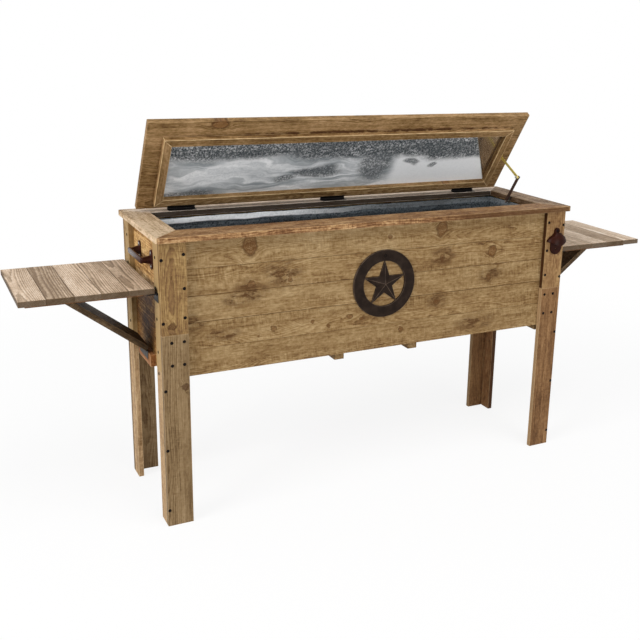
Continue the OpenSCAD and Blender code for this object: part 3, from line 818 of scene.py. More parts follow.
# Right posts: slightly redder shades of their own; the dark side colour is painted shade on the boards'
# narrow faces.
RIGHT_POST_WOOD = replace(POST_WOOD, name="stained_dark_post", side="#351b07", side_share=0.96,
                          shades=("#543a20", "#725335", "#81623f", "#90724c", "#a3875f"))
LEG_WOOD = WoodFinish("stained_leg", "post_wood", ("#4e3821", "#685338", "#755f42", "#806a4c", "#927c5e"),
                      arris="#b59c78", knot_share=0.05, arris_share=0.4, lines=1.1, clouds=0.8, bend=0.5,
                      saw_marks=0.6, knots=(Patch(-0.582, 0.396, 0.010, 0.008),), knot="#371a08")
# Leg end boards: paler than the legs, partly their own colour and partly painted light on the faces towards
# the lamp.
LEG_END_WOOD = WoodFinish("stained_leg_end", "post_wood",
                          ("#6f5333", "#917453", "#a0825e", "#b1936e", "#c9ad87"),
                          arris="#d9c39c", knot_share=0.05, arris_share=0.5)
# Right legs: their own redder shades; the pale side colour is a painted highlight on the boards' narrow
# faces.
RIGHT_LEG_WOOD = replace(LEG_WOOD, name="stained_right_leg", side="#a58a66", side_share=0.55,
                         shades=("#4c321c", "#6c4d30", "#7b5a3a", "#896845", "#a0805a"))
# Right leg end boards: the dark side colour is painted shade on their narrow faces.
RIGHT_LEG_END_WOOD = replace(RIGHT_LEG_WOOD, name="stained_right_leg_end", side="#351b07", side_share=0.9,
                             shades=("#593c24", "#7f5c3c", "#916c49", "#a27c57", "#b99670"))
# Lid wood: its one smudge patch is a painted shade line along the top of the inner frame.
LID_WOOD = WoodFinish("stained_lid", "lid_wood", ("#4d321a", "#745936", "#8a6d47", "#9a7b56", "#b79770"),
                      arris="#d9bd90", knot_share=0.1, saw_marks=0.25, arris_share=0.7,
                      smudges=(Patch(0.12, 1.0238, 0.5, 0.0035),), smudge_share=2.4, shake=0.008)
TABLE_WOOD = WoodFinish("weathered_table", "table_wood",
                        ("#7e6851", "#a8927a", "#c6ae95", "#d9c2aa", "#f4e6d4"), knot="#6a4a33",
                        knot_share=0.06, ring_pitch=0.0034, rings=1.4, lines=0.7, clouds=0.6, bend=0.3,
                        arris="#6b5640", arris_share=0.6, side="#3a2a17", side_share=0.88)
BATTEN_WOOD = WoodFinish("weathered_batten", "table_wood",
                         ("#3a2414", "#55371f", "#67452a", "#775233", "#936a45"),
                         arris="#6a4c30", arris_share=0.3)
# Brace: stained wood drawn very dark, painted shade from the table above it.
BRACE_WOOD = WoodFinish("stained_brace", "post_wood",
                        ("#1c120a", "#332516", "#433321", "#54422e", "#6f5b42"),
                        arris="#6d5a3c", knot_share=0.1, arris_share=0.35)
FRESH_WOOD = WoodFinish("fresh_cut", "fresh_wood", ("#5b361a", "#7a4c29", "#8d5e35", "#9d6c41", "#b2855d"),
                        knot_share=0.06, arris="#e3bd90")
TUB_ZINC = TubFinish("galvanised_tub")
LINING_ZINC = LiningFinish("galvanised_lining")
STAR_CAST = CastFinish("cast_star", base="#180f0a", rubbed="#5a4b3f", shine=0.05)
OPENER_CAST = CastFinish("cast_opener", base="#250e07", rubbed="#4a2218", dust="#0d0605",
                         roughness=0.34, shine=0.06)
PULL_CAST = CastFinish("cast_pull", base="#30140f", rubbed="#6a4038", dust="#120a08",
                       roughness=0.24, shine=0.2)
BLACK_STEEL = SteelFinish("black_hinge", "black_steel", "#100d0c", "#241f1c", 0.0, 0.45, 0.12)
DARK_LINK = SteelFinish("bronzed_link", "black_steel", "#32221a", "#6b5144", 0.2, 0.4, 0.25)
DULL_STEEL = SteelFinish("dull_flange", "black_steel", "#5f564c", "#c9c2b4", 0.4, 0.4, 0.3)
BARE_STEEL = SteelFinish("bare_bolt", "black_steel", "#b9b9b6", "#e9e9e6", 0.7, 0.3)
SCREW_STEEL = SteelFinish("black_screw", "black_steel", "#0b0706", "#1c1410", 0.0, 0.8, 0.1)
YELLOW_ZINC = SteelFinish("yellow_zinc", "zinc_yellow", "#c2aa4a", "#e6dfa0", 0.6, 0.32)


ROW = Matrix.Identity(4)
QUARTER = math.radians(90)
GRAIN_FRONT_TO_BACK = Matrix.Rotation(-QUARTER, 4, "Z")


@dataclass(frozen=True)
class Board:
    """One board: a flat outline pulled up by its thickness, with grain along one direction."""

    outline: tuple[Point, ...]
    thick: float
    place: Matrix
    grain: Matrix
    tone: float = 0.0
    ease: float = 1.2 * MM
    worn: float = 1.0

    @staticmethod
    def between(low: Vector, high: Vector, along: Axis, place: Matrix = ROW, tone: float = 0.0,
                ease: float = 1.2 * MM, worn: float = 1.0) -> "Board":
        """A board that fills a box.

        Args:
            low: Lowest corner.
            high: Highest corner.
            along: Axis of the grain.
            place: Carries the box's own frame to the row frame.
            tone: How much darker the board is drawn: the stain's take, and for some boards painted shade.
                Less than 0 is paler, for some boards painted light.
            ease: Radius of the eased edges.
            worn: How much of the arrises' own colour they show.

        Returns:
            The board.
        """
        size = high - low
        outline = ((0.0, 0.0), (size.x, 0.0), (size.x, size.y), (0.0, size.y))
        across = sorted((i for i in range(3) if i != along.value), key=lambda i: -size[i])
        order = [along.value, *across]
        turn = Matrix([[1.0 if order[row] == column else 0.0 for column in range(3)] for row in range(3)])
        grain = turn.to_4x4() @ Matrix.Translation(-size / 2)
        return Board(outline, size.z, place @ Matrix.Translation(low), grain, tone, ease, worn)

    def solid(self) -> bmesh.types.BMesh:
        """The board's solid with eased edges, in its own frame.

        Returns:
            The mesh, with the layers that the finishes read. Its faces know arris and side.
        """
        part = bmesh.new()
        part.faces.layers.float.new("arris")
        part.faces.layers.float.new("side")
        for name in ("grain", "spot", "flat"):
            part.verts.layers.float_vector.new(name)
        part.verts.layers.float.new("tone")
        low = [part.verts.new((px, py, 0.0)) for px, py in self.outline]
        high = [part.verts.new((px, py, self.thick)) for px, py in self.outline]
        part.faces.new(list(reversed(low)))
        part.faces.new(high)
        for i in range(len(low)):
            j = (i + 1) % len(low)
            part.faces.new((low[i], low[j], high[j], high[i]))
        bmesh.ops.recalc_face_normals(part, faces=part.faces)
        ease_edges(part, list(part.edges), self.ease, self.worn)
        side = part.faces.layers.float["side"]
        to_grain = self.grain.to_3x3()
        part.normal_update()
        for face in part.faces:
            face[side] = 1.0 if abs((to_grain @ face.normal).z) < 0.5 else 0.0
        return part


class BoardPile:
    """Collects boards and makes one piece of them, each board with a grain of its own."""

    def __init__(self, name: str, seed: int) -> None:
        """Starts an empty pile.

        Args:
            name: The piece's name.
            seed: Seed of the boards' own grain.
        """
        self.name = name
        self.draw = random.Random(seed)
        self.bm = bmesh.new()

    def add(self, board: Board) -> None:
        """Adds one board, cut from a place of its own in the log.

        Args:
            board: The board.
        """
        part = board.solid()
        grain, spot, flat = (part.verts.layers.float_vector[name] for name in ("grain", "spot", "flat"))
        tone = part.verts.layers.float["tone"]
        draw = self.draw
        log_place = Vector((draw.uniform(0, 40), draw.uniform(-0.05, 0.05),
                            draw.choice((-1, 1)) * draw.uniform(0.02, 0.07)))
        shade = board.tone + draw.uniform(-0.1, 0.1)
        for vert in part.verts:
            vert[flat] = board.grain @ vert.co
            vert[grain] = vert[flat] + log_place
            vert.co = board.place @ vert.co
            vert[spot] = vert.co
            vert[tone] = shade
        mesh = bpy.data.meshes.new("part")
        part.to_mesh(mesh)
        part.free()
        self.bm.from_mesh(mesh)
        bpy.data.meshes.remove(mesh)

    def piece(self, body: str, finish: Finish, shop: Workshop, *nodes: str) -> None:
        """Makes the piece and hands it over.

        Args:
            body: The body that it moves with.
            finish: Its finish.
            shop: The workshop.
            *nodes: The nodes that it replaces.
        """
        bmesh.ops.recalc_face_normals(self.bm, faces=self.bm.faces)
        shop.hand_over(new_object(self.name, self.bm), finish, body, *nodes)


def ease_edges(bm: bmesh.types.BMesh, edges: Sequence[bmesh.types.BMEdge], radius: float,
               worn: float = 1.0) -> None:
    """Rounds edges off and marks the new faces as arrises.

    Args:
        bm: The mesh, with a face layer named arris.
        edges: Its edges that are rounded.
        radius: How far from the edge the rounding starts.
        worn: What the new faces say in the layer.
    """
    eased = bmesh.ops.bevel(bm, geom=edges, offset=radius, segments=2, affect="EDGES", profile=0.6,
                            clamp_overlap=True)["faces"]
    arris = bm.faces.layers.float["arris"]
    for face in eased:
        face[arris] = worn


def new_object(name: str, bm: bmesh.types.BMesh, sharp: float | None = None) -> bpy.types.Object:
    """Turns a mesh under construction into an object in the scene.

    Args:
        name: The object's name.
        bm: The mesh, which is freed.
        sharp: Angle in degrees from which an edge stays sharp. Without it every face is flat.

    Returns:
        The object.
    """
    mesh = bpy.data.meshes.new(name)
    if sharp is not None:
        bm.normal_update()
        for face in bm.faces:
            face.smooth = True
        for edge in bm.edges:
            edge.smooth = len(edge.link_faces) == 2 and edge.calc_face_angle(0.0) < math.radians(sharp)
    bm.to_mesh(mesh)
    bm.free()
    obj = bpy.data.objects.new(name, mesh)
    bpy.context.scene.collection.objects.link(obj)
    return obj


def turned(bm: bmesh.types.BMesh, profile: Sequence[Point], place: Matrix, steps: int,
           closed: bool = False) -> None:
    """Turns a profile of radius and height round an axis and skins it.

    Args:
        bm: The mesh that takes the faces.
        profile: Points of radius and height, in metres.
        place: Carries the axis, along +Z, to its place.
        steps: Number of steps round.
        closed: Whether the profile is a closed loop, as for a ring. An open one gets two end faces.
    """
    angles = [2 * math.pi * i / steps for i in range(steps)]
    made = [[bm.verts.new(place @ Vector((radius * math.cos(a), radius * math.sin(a), height)))
             for a in angles] for radius, height in profile]
    for i in range(len(made) if closed else len(made) - 1):
        this, following = made[i], made[(i + 1) % len(made)]
        for j in range(steps):
            k = (j + 1) % steps
            bm.faces.new((this[j], this[k], following[k], following[j]))
    if not closed:
        bm.faces.new(list(reversed(made[0])))
        bm.faces.new(made[-1])


@dataclass(frozen=True)
class Plan:
    """Sizes that several sub-assemblies share, in metres, read from the frame where it holds them."""

    board: float = 15 * MM
    lid_open: float = math.radians(56.5)
    lid_shift: float = 4 * MM
    board_gap: float = 0.4 * MM

    def pin(self, joint: str) -> Vector:
        """A point on the pin of a hinge."""
        return Vector(next(j for j in frame["joints"] if j["name"] == joint)["pos_m"])

    @property
    def on_lid(self) -> Matrix:
        """Carries what is drawn closed, from the hinge pin, to the open lid."""
        shift = Matrix.Translation((-self.lid_shift, 0, 0))
        return shift @ Matrix.Translation(self.pin("lid_hinge")) @ Matrix.Rotation(-self.lid_open, 4, "X")


@dataclass
class Screws:
    """Low round screw heads, all of one body in one piece."""

    name: str
    body: str
    radius: float = 4.4 * MM
    steps: int = 14
    sharp: float = 40.0
    bm: bmesh.types.BMesh = field(default_factory=bmesh.new)

    def add(self, at: Vector, normal: Vector, size: float = 1.0) -> None:
        """Adds one screw head with its driving recess.

        Args:
            at: The middle of the head, on the surface.
            normal: The surface's outward direction.
            size: Size against the usual head.
        """
        r = self.radius * size
        profile = [(r, -0.8 * MM), (r, 0.5 * MM), (r * 0.86, 0.85 * MM), (r * 0.45, 0.9 * MM),
                   (r * 0.36, 0.2 * MM), (r * 0.05, 0.15 * MM)]
        place = Matrix.Translation(at) @ normal.to_track_quat("Z", "Y").to_matrix().to_4x4()
        turned(self.bm, profile, place, self.steps)

    def piece(self, finish: SteelFinish, shop: Workshop) -> None:
        """Makes the piece and hands it over."""
        shop.hand_over(new_object(self.name, self.bm, self.sharp), finish, self.body)


@dataclass
class Cabinet:
    """The chest: rim, wall planks, corner posts, legs, cleats, floor and its battens."""

    plan: Plan
    shop: Workshop
    rim_corner: float = 9 * MM
    rim_ease: float = 1.6 * MM
    plank_tones: tuple[float, ...] = (0.0, 0.1, 0.05, 0.12, 0.0)
    plank_eases: tuple[float, ...] = (0.5 * MM, 0.9 * MM, 1.5 * MM, 0.6 * MM, 0.6 * MM)
    plank_wears: tuple[float, ...] = (0.3, 0.7, 1.0, 0.35, 0.35)
    # Wall plank tones, one per row: the darker rows 3 to 5 are painted shade under the tables.
    wall_tones: tuple[float, ...] = (-0.1, 0.0, 0.4, 0.45, 0.4)
    wall_ease: float = 0.7 * MM
    # Tones of each post's front board and side board: the side boards' negative tones draw them paler,
    # painted light on the faces towards the lamp.
    post_tones: tuple[float, float] = (0.05, -0.7)
    nearest_post_tones: tuple[float, float] = (0.15, -1.3)
    leg_tone: float = 0.12
    rail: float = 29 * MM
    rail_gap: float = 1 * MM
    screw_in: float = 26 * MM

    def build(self) -> None:
        """Builds every wooden piece of the chest and its screws."""
        self._rim()
        self._planks()
        for end in End:
            for depth in ("front", "rear"):
                self._corner(end, depth)
        self._underside()
        self._screws()

    def _board(self, node: str, name: str, seed: int, along: Axis, wood: WoodFinish, **look: float) -> None:
        """One board that fills the box of its node.

        Args:
            node: The node that it replaces.
            name: The piece's name.
            seed: Seed of its grain.
            along: Axis of its grain.
            wood: Its finish.
            **look: Its tone, ease and wear, where they aren't the usual ones.
        """
        pile = BoardPile(name, seed)
        pile.add(Board.between(*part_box(node), along, **look))
        pile.piece("cabinet", wood, self.shop, node)

    def _arc(self, x: float, y: float, start: float) -> list[Point]:
        """Points of half an outer corner of the rim, over 45 degrees.

        Args:
            x: Middle of the corner's circle.
            y: Middle of the corner's circle.
            start: The first angle, in degrees.

        Returns:
            The points.
        """
        turns = [math.radians(start + 45 * i / 4) for i in range(5)]
        return [(x + self.rim_corner * math.cos(turn), y + self.rim_corner * math.sin(turn))
                for turn in turns]

    def _rim(self) -> None:
        """The four mitred rim boards with rounded outer corners."""
        front_low, front_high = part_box("rim_front")
        rear_low, rear_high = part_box("rim_rear")
        left_low, left_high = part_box("rim_left")
        inner_x, front_in, rear_in = -left_high.x, front_high.y, rear_low.y
        x = -left_low.x - self.rim_corner
        front, rear = front_low.y + self.rim_corner, rear_high.y - self.rim_corner
        front_board = (*self._arc(-x, front, 225), *self._arc(x, front, 270),
                       (inner_x, front_in), (-inner_x, front_in))
        rear_board = (*self._arc(x, rear, 45), *self._arc(-x, rear, 90),
                      (-inner_x, rear_in), (inner_x, rear_in))
        right_board = (*self._arc(x, front, 315), *self._arc(x, rear, 0),
                       (inner_x, rear_in), (inner_x, front_in))
        left_board = tuple((-px, py) for px, py in reversed(right_board))
        up = Matrix.Translation((0, 0, front_low.z))
        # The left rim board's negative tone draws it paler: painted light on its top face.
        for side, outline, grain, seed, tone, wood in (
                ("front", front_board, ROW, 3, 0.2, FRONT_RIM_WOOD),
                ("rear", rear_board, ROW, 5, 0.0, REAR_RIM_WOOD),
                ("left", left_board, GRAIN_FRONT_TO_BACK, 8, -0.45, LEFT_RIM_WOOD),
                ("right", right_board, GRAIN_FRONT_TO_BACK, 9, 0.25, RIGHT_RIM_WOOD)):
            pile = BoardPile(f"rim_{side}_board", seed)
            pile.add(Board(outline, self.plan.board, up, grain, tone, self.rim_ease))
            pile.piece("cabinet", wood, self.shop, "rim_" + side)

    def _planks(self) -> None:
        """Front planks one by one, rear and end planks as a wall each."""
        heights = []
        for i, (tone, ease, worn) in enumerate(zip(self.plank_tones, self.plank_eases, self.plank_wears), 1):
            node = f"front_plank_{i}"
            self._board(node, f"front_board_{i}", 20 + i, Axis.X, PLANK, tone=tone, ease=ease, worn=worn)
            heights.append([corner.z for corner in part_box(node)])
        for wall, along, seed, wood in (("rear", Axis.X, 41, PLANK), ("left", Axis.Y, 42, END_PLANK),
                                        ("right", Axis.Y, 43, END_PLANK)):
            low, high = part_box(wall + "_planks")
            pile = BoardPile(wall + "_wall", seed)
            for tone, (bottom, top) in zip(self.wall_tones, heights):
                pile.add(Board.between(Vector((low.x, low.y, bottom)), Vector((high.x, high.y, top)), along,
                                       tone=tone, ease=self.wall_ease))
            pile.piece("cabinet", wood, self.shop, wall + "_planks")

    def _corner(self, end: End, depth: str) -> None:
        """One corner: two post boards beside the walls and the two leg boards below them.

        Args:
            end: The end of the chest.
            depth: front or rear, as the nodes' names have it.
        """
        corner = f"{depth}_{end.word}"
        seed = 60 + 7 * end.value + (3 if depth == "front" else 0)
        nodes = ("leg_" + corner, "leg_end_" + corner)
        post_wood, leg_woods = POST_WOOD, (LEG_WOOD, LEG_END_WOOD)
        if end is End.RIGHT:
            post_wood, leg_woods = RIGHT_POST_WOOD, (RIGHT_LEG_WOOD, RIGHT_LEG_END_WOOD)
        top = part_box("post_" + corner)[1].z
        pile = BoardPile(f"post_{corner}_boards", seed)
        for node, tone in zip(nodes, self.nearest_post_tones if corner == "front_left" else self.post_tones):
            low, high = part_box(node)
            pile.add(Board.between(Vector((low.x, low.y, high.z)), Vector((high.x, high.y, top)), Axis.Z,
                                   tone=tone))
        pile.piece("cabinet", post_wood, self.shop, "post_" + corner)
        for shift, (node, wood) in enumerate(zip(nodes, leg_woods), 1):
            self._board(node, node + "_board", seed + 20 * shift, Axis.Z, wood, tone=self.leg_tone)

    def _underside(self) -> None:
        """Cleats, floor, floor battens and the rails under the tub's bead."""
        for i, node in enumerate(("cleat_left", "cleat_right")):
            self._board(node, node + "_block", 90 + i, Axis.Y, FRESH_WOOD)
        for i in range(1, 5):
            node = f"floor_batten_{i}"
            self._board(node, node + "_wood", 100 + i, Axis.Y, PLANK)
        self._board("floor_boards", "floor_panel", 110, Axis.X, FRESH_WOOD, ease=0.5 * MM)
        low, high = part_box("tub_rails")
        pile = BoardPile("tub_rail_frame", 111)
        for y in (low.y, high.y - self.rail):
            pile.add(Board.between(Vector((low.x, y, low.z)),
                                   Vector((high.x, y + self.rail, high.z)), Axis.X))
        inset = self.rail + self.rail_gap
        for x in (low.x, high.x - self.rail):
            pile.add(Board.between(Vector((x, low.y + inset, low.z)),
                                   Vector((x + self.rail, high.y - inset, high.z)), Axis.Y))
        pile.piece("cabinet", RIM_WOOD, self.shop, "tub_rails")

    def _screws(self) -> None:
        """Black screws in the posts and legs, a few millimetres in from the boards' edges."""
        screws = Screws("post_screws", "cabinet")
        leg_low, leg_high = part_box("leg_front_right")
        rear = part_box("leg_rear_right")[1].y
        edge, inner = leg_high.x - 5 * MM, leg_low.x + 8 * MM
        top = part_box("post_front_right")[1].z
        joint = leg_high.z
        wide = [(edge, top - 45 * MM), (inner, top - 34 * MM), (inner, top - 123 * MM),
                (inner, top - 201 * MM), (edge, joint + 34 * MM), (inner + 4 * MM, joint - 20 * MM),
                (edge - 20 * MM, joint - 20 * MM), (inner + 5 * MM, joint - 82 * MM),
                (edge - 20 * MM, joint - 82 * MM), (edge, joint - 150 * MM), (edge, joint - 318 * MM),
                (edge, joint - 493 * MM)]
        narrow = [top - down * MM for down in (46, 126, 209, 299, 358)]
        side_rows = (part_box("leg_end_front_right")[0].y + self.screw_in,
                     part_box("leg_end_rear_right")[1].y - self.screw_in)
        for end in End:
            for x, z in wide:
                screws.add(Vector((end.value * x, leg_low.y, z)), Vector((0, -1, 0)))
                screws.add(Vector((end.value * x, rear, z)), Vector((0, 1, 0)))
            for z in narrow:
                for y in side_rows:
                    screws.add(Vector((end.value * leg_high.x, y, z)), Vector((end.value, 0, 0)))
        screws.piece(SCREW_STEEL, self.shop)


@dataclass
class Lid:
    """The lid: its boards, the mitred inner frame and the lining."""

    plan: Plan
    shop: Workshop
    half_length: float = 606.5 * MM
    depth: float = 305.6 * MM
    tones: tuple[float, ...] = (0.1, 0.2, 0.1, 0.0)
    ease: float = 0.5 * MM
    worn: float = 0.3
    under: float = 1.6 * MM
    edge_gap: float = 4 * MM
    frame_half: float = 561.5 * MM
    frame_rear: float = -24 * MM
    frame_front: float = -261.5 * MM
    frame_width: float = 22.4 * MM
    frame_height: float = 16.4 * MM
    frame_tone: float = 0.05
    frame_ease: float = 1.4 * MM
    sheet: float = 1 * MM
    sheet_ease: float = 0.1 * MM

    def build(self) -> None:
        """Builds the lid's pieces."""
        self._boards()
        self._inner_frame()
        self._lining()

    def _boards(self) -> None:
        """Long boards side by side, from the hinge to the free edge."""
        pile = BoardPile("lid_planks", 201)
        pitch = (self.depth + self.plan.board_gap) / len(self.tones)
        for i, tone in enumerate(self.tones):
            rear = -self.edge_gap - i * pitch
            front = rear - pitch + self.plan.board_gap
            pile.add(Board.between(Vector((-self.half_length, front, self.under)),
                                   Vector((self.half_length, rear, self.under + self.plan.board)),
                                   Axis.X, self.plan.on_lid, tone, self.ease, self.worn))
        pile.piece("lid", LID_WOOD, self.shop, "lid_boards")

    def _inner_frame(self) -> None:
        """Four mitred members that stand below the lid and fit the opening."""
        x, w = self.frame_half, self.frame_width
        front, rear = self.frame_front, self.frame_rear
        place = self.plan.on_lid @ Matrix.Translation((0, 0, self.under - self.frame_height))
        members = {
            "front": (((-x, front), (x, front), (x - w, front + w), (w - x, front + w)), ROW),
            "rear": (((-x, rear), (w - x, rear - w), (x - w, rear - w), (x, rear)), ROW),
            "left": (((-x, front), (w - x, front + w), (w - x, rear - w), (-x, rear)), GRAIN_FRONT_TO_BACK),
            "right": (((x, front), (x, rear), (x - w, rear - w), (x - w, front + w)), GRAIN_FRONT_TO_BACK),
        }
        for i, (side, (outline, grain)) in enumerate(members.items()):
            pile = BoardPile(f"lid_frame_{side}_member", 210 + i)
            pile.add(Board(outline, self.frame_height, place, grain, self.frame_tone, self.frame_ease))
            pile.piece("lid", LID_WOOD, self.shop, "lid_frame_" + side)

    def _lining(self) -> None:
        """The galvanised sheet inside the inner frame."""
        x = self.frame_half - self.frame_width
        front, rear = self.frame_front + self.frame_width, self.frame_rear - self.frame_width
        pile = BoardPile("lid_lining_sheet", 230)
        pile.add(Board.between(Vector((-x, front, self.under - self.sheet)), Vector((x, rear, self.under)),
                               Axis.X, self.plan.on_lid, ease=self.sheet_ease))
        pile.piece("lid", LINING_ZINC, self.shop, "lid_lining")


@dataclass(frozen=True)
class EasedCopy:
    """A casting as its solid has it, with its sharp edges rounded off."""

    node: str
    body: str
    finish: Finish
    ease: float
    bevel_from: float = 24.0
    sharp: float = 38.0
    weld: float = 0.01 * MM
    flat: float = 0.5

    def build(self, shop: Workshop) -> None:
        """Makes the piece, which stands for its node.

        Args:
            shop: The workshop.
        """
        bm = bmesh.new()
        bm.from_mesh(frame["nodes"][self.node].data)
        bmesh.ops.remove_doubles(bm, verts=bm.verts, dist=self.weld)
        bmesh.ops.dissolve_limit(bm, angle_limit=math.radians(self.flat), verts=bm.verts, edges=bm.edges)
        bm.faces.layers.float.new("arris")
        limit = math.radians(self.bevel_from)
        edges = [edge for edge in bm.edges
                 if len(edge.link_faces) == 2 and abs(edge.calc_face_angle_signed(0.0)) > limit]
        ease_edges(bm, edges, self.ease)
        shop.hand_over(new_object(self.node + "_eased", bm, self.sharp), self.finish, self.body, self.node)


@dataclass
class Ironwork:
    """The tub, the hinges and the stay with its bolt."""

    shop: Workshop
    bolt_radius: float = 4.2 * MM
    bolt_forward: float = 6.5 * MM
    bolt_steps: int = 18
    sharp: float = 40.0

    def build(self) -> None:
        """Dresses the tub, the hinges and the stay, and adds the stay's bolt."""
        nodes = frame["nodes"]
        dressed = {"tub": TUB_ZINC, **{name: BLACK_STEEL for name in nodes if "hinge" in name},
                   "stay_foot": DULL_STEEL, "stay_lower_link": DARK_LINK,
                   "stay_upper_link": YELLOW_ZINC, "stay_lid_bracket": YELLOW_ZINC}
        for name, finish in dressed.items():
            self.shop.dress(nodes[name], finish)
        self._bolt()

    def _bolt(self) -> None:
        """The bare bolt through the stay's elbow, its head inside and its nut outside."""
        lower_low, lower_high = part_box("stay_lower_link")
        upper_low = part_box("stay_upper_link")[0]
        y = (lower_low.y + upper_low.y) / 2 + self.bolt_forward
        z = (lower_high.z + upper_low.z) / 2
        r = self.bolt_radius
        head = ((0.2 * r, 0.0), (0.9 * r, 0.1 * MM), (r, 0.6 * MM), (r, 2.2 * MM), (0.2 * r, 2.5 * MM))
        across = Matrix.Rotation(QUARTER, 4, "Y")
        bm = bmesh.new()
        for x, turn in ((lower_high.x, across), (upper_low.x, across.inverted())):
            turned(bm, head, Matrix.Translation((x, y, z)) @ turn, self.bolt_steps)
        self.shop.hand_over(new_object("stay_bolt", bm, self.sharp), BARE_STEEL, "stay_lower")


@dataclass(frozen=True)
class StarMedallion:
    """The cast ring with its faceted star, and the eyelet with its screw at the top."""

    shop: Workshop
    middle: Vector = Vector((9 * MM, -168 * MM, 612 * MM))
    ring_outer: float = 99 * MM
    ring_inner: float = 66.5 * MM
    thick: float = 6 * MM
    bevel: float = 1.3 * MM
    point: float = 69 * MM
    notch: float = 27 * MM
    edge_height: float = 4 * MM
    peak_height: float = 13 * MM
    ridge: float = 0.7 * MM
    steps: int = 96
    eyelet: tuple[Point, ...] = ((8.5 * MM, -1.0 * MM), (8.0 * MM, 1.0 * MM), (6.6 * MM, 1.8 * MM),
                                 (5.2 * MM, 1.2 * MM), (4.6 * MM, -1.0 * MM))
    eyelet_steps: int = 20
    ring_worn: float = 0.6
    sharp: float = 20.0

    def build(self) -> None:
        """Makes the casting, which stands for its node, and its screw."""
        self._screw()
        bm = self._star()
        low, high, top, c = self.ring_inner, self.ring_outer, self.thick, self.bevel
        turned(bm, [(low, 0), (high, 0), (high, top - c), (high - c, top), (low + c, top), (low, top - c)],
               ROW, self.steps, closed=True)
        eyelet_place = Matrix.Translation((0, (low + high) / 2, top))
        turned(bm, self.eyelet, eyelet_place, self.eyelet_steps, closed=True)
        # The ring's edge bevels take the pale edge colour: worn paint and a painted highlight along its
        # inner and outer edges.
        arris = bm.faces.layers.float["arris"]
        for face in bm.faces:
            radius = face.calc_center_median().xy.length
            if low < radius < low + c or high - c < radius < high:
                face[arris] = self.ring_worn
        bm.transform(Matrix.Translation(self.middle) @ Matrix.Rotation(QUARTER, 4, "X"))
        bmesh.ops.recalc_face_normals(bm, faces=bm.faces)
        casting = new_object("star_medallion_casting", bm, self.sharp)
        self.shop.hand_over(casting, STAR_CAST, "cabinet", "star_medallion")

    def _star(self) -> bmesh.types.BMesh:
        """The star with a ridge to each point and eased upper edges, flat on its back.

        Returns:
            The star's mesh.
        """
        bm = bmesh.new()
        bm.faces.layers.float.new("arris")
        low, high = [], []
        for i in range(10):
            radius = self.notch if i % 2 else self.point
            turn = math.radians(90 + 36 * i)
            x, y = radius * math.cos(turn), radius * math.sin(turn)
            low.append(bm.verts.new((x, y, 0)))
            high.append(bm.verts.new((x, y, self.edge_height)))
        peak = bm.verts.new((0, 0, self.peak_height))
        bm.faces.new(list(reversed(low)))
        for i in range(10):
            j = (i + 1) % 10
            bm.faces.new((low[i], low[j], high[j], high[i]))
            bm.faces.new((high[i], high[j], peak))
        top_edges = [e for e in bm.edges if e.verts[0].co.z > 0 and e.verts[1].co.z > 0]
        valleys = set(high[1::2])
        ridges = [e for e in top_edges if not (peak in e.verts and valleys & set(e.verts))]
        ease_edges(bm, ridges, self.ridge)
        return bm

    def _screw(self) -> None:
        """The dark screw inside the eyelet."""
        at = self.middle + Vector((0, -self.thick + 0.4 * MM, (self.ring_inner + self.ring_outer) / 2))
        screws = Screws("star_screw", "cabinet")
        screws.add(at, Vector((0, -1, 0)))
        screws.piece(SCREW_STEEL, self.shop)


@dataclass
class Castings:
    """The star medallion, the bottle opener and the two pulls, with their screws."""

    shop: Workshop
    opener_ease: float = 0.9 * MM
    opener_ear_down: float = 9 * MM
    opener_ear_out: float = 4.4 * MM
    opener_screw: float = 0.9
    pull_ease: float = 1.2 * MM
    foot_half: float = 10 * MM
    foot_thick: float = 4 * MM
    hole_in: float = 8 * MM
    pull_screw: float = 0.62

    def build(self) -> None:
        """Rounds off and dresses the castings, and drives their screws."""
        StarMedallion(self.shop).build()
        EasedCopy("bottle_opener", "cabinet", OPENER_CAST, self.opener_ease).build(self.shop)
        screws = Screws("opener_screw", "cabinet")
        low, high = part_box("bottle_opener")
        ear = Vector(((low.x + high.x) / 2, high.y - self.opener_ear_out, high.z - self.opener_ear_down))
        screws.add(ear, Vector((0, -1, 0)), self.opener_screw)
        screws.piece(SCREW_STEEL, self.shop)
        screws = Screws("handle_screws", "cabinet")
        for end in End:
            node = "handle_" + end.word
            EasedCopy(node, "cabinet", PULL_CAST, self.pull_ease).build(self.shop)
            low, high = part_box(node)
            wall = low.x if end is End.RIGHT else high.x
            for y in (low.y + self.foot_half, high.y - self.foot_half):
                for z in (low.z + self.hole_in, high.z - self.hole_in):
                    screws.add(Vector((wall + end.value * self.foot_thick, y, z)),
                               Vector((end.value, 0, 0)), self.pull_screw)
        screws.piece(BARE_STEEL, self.shop)


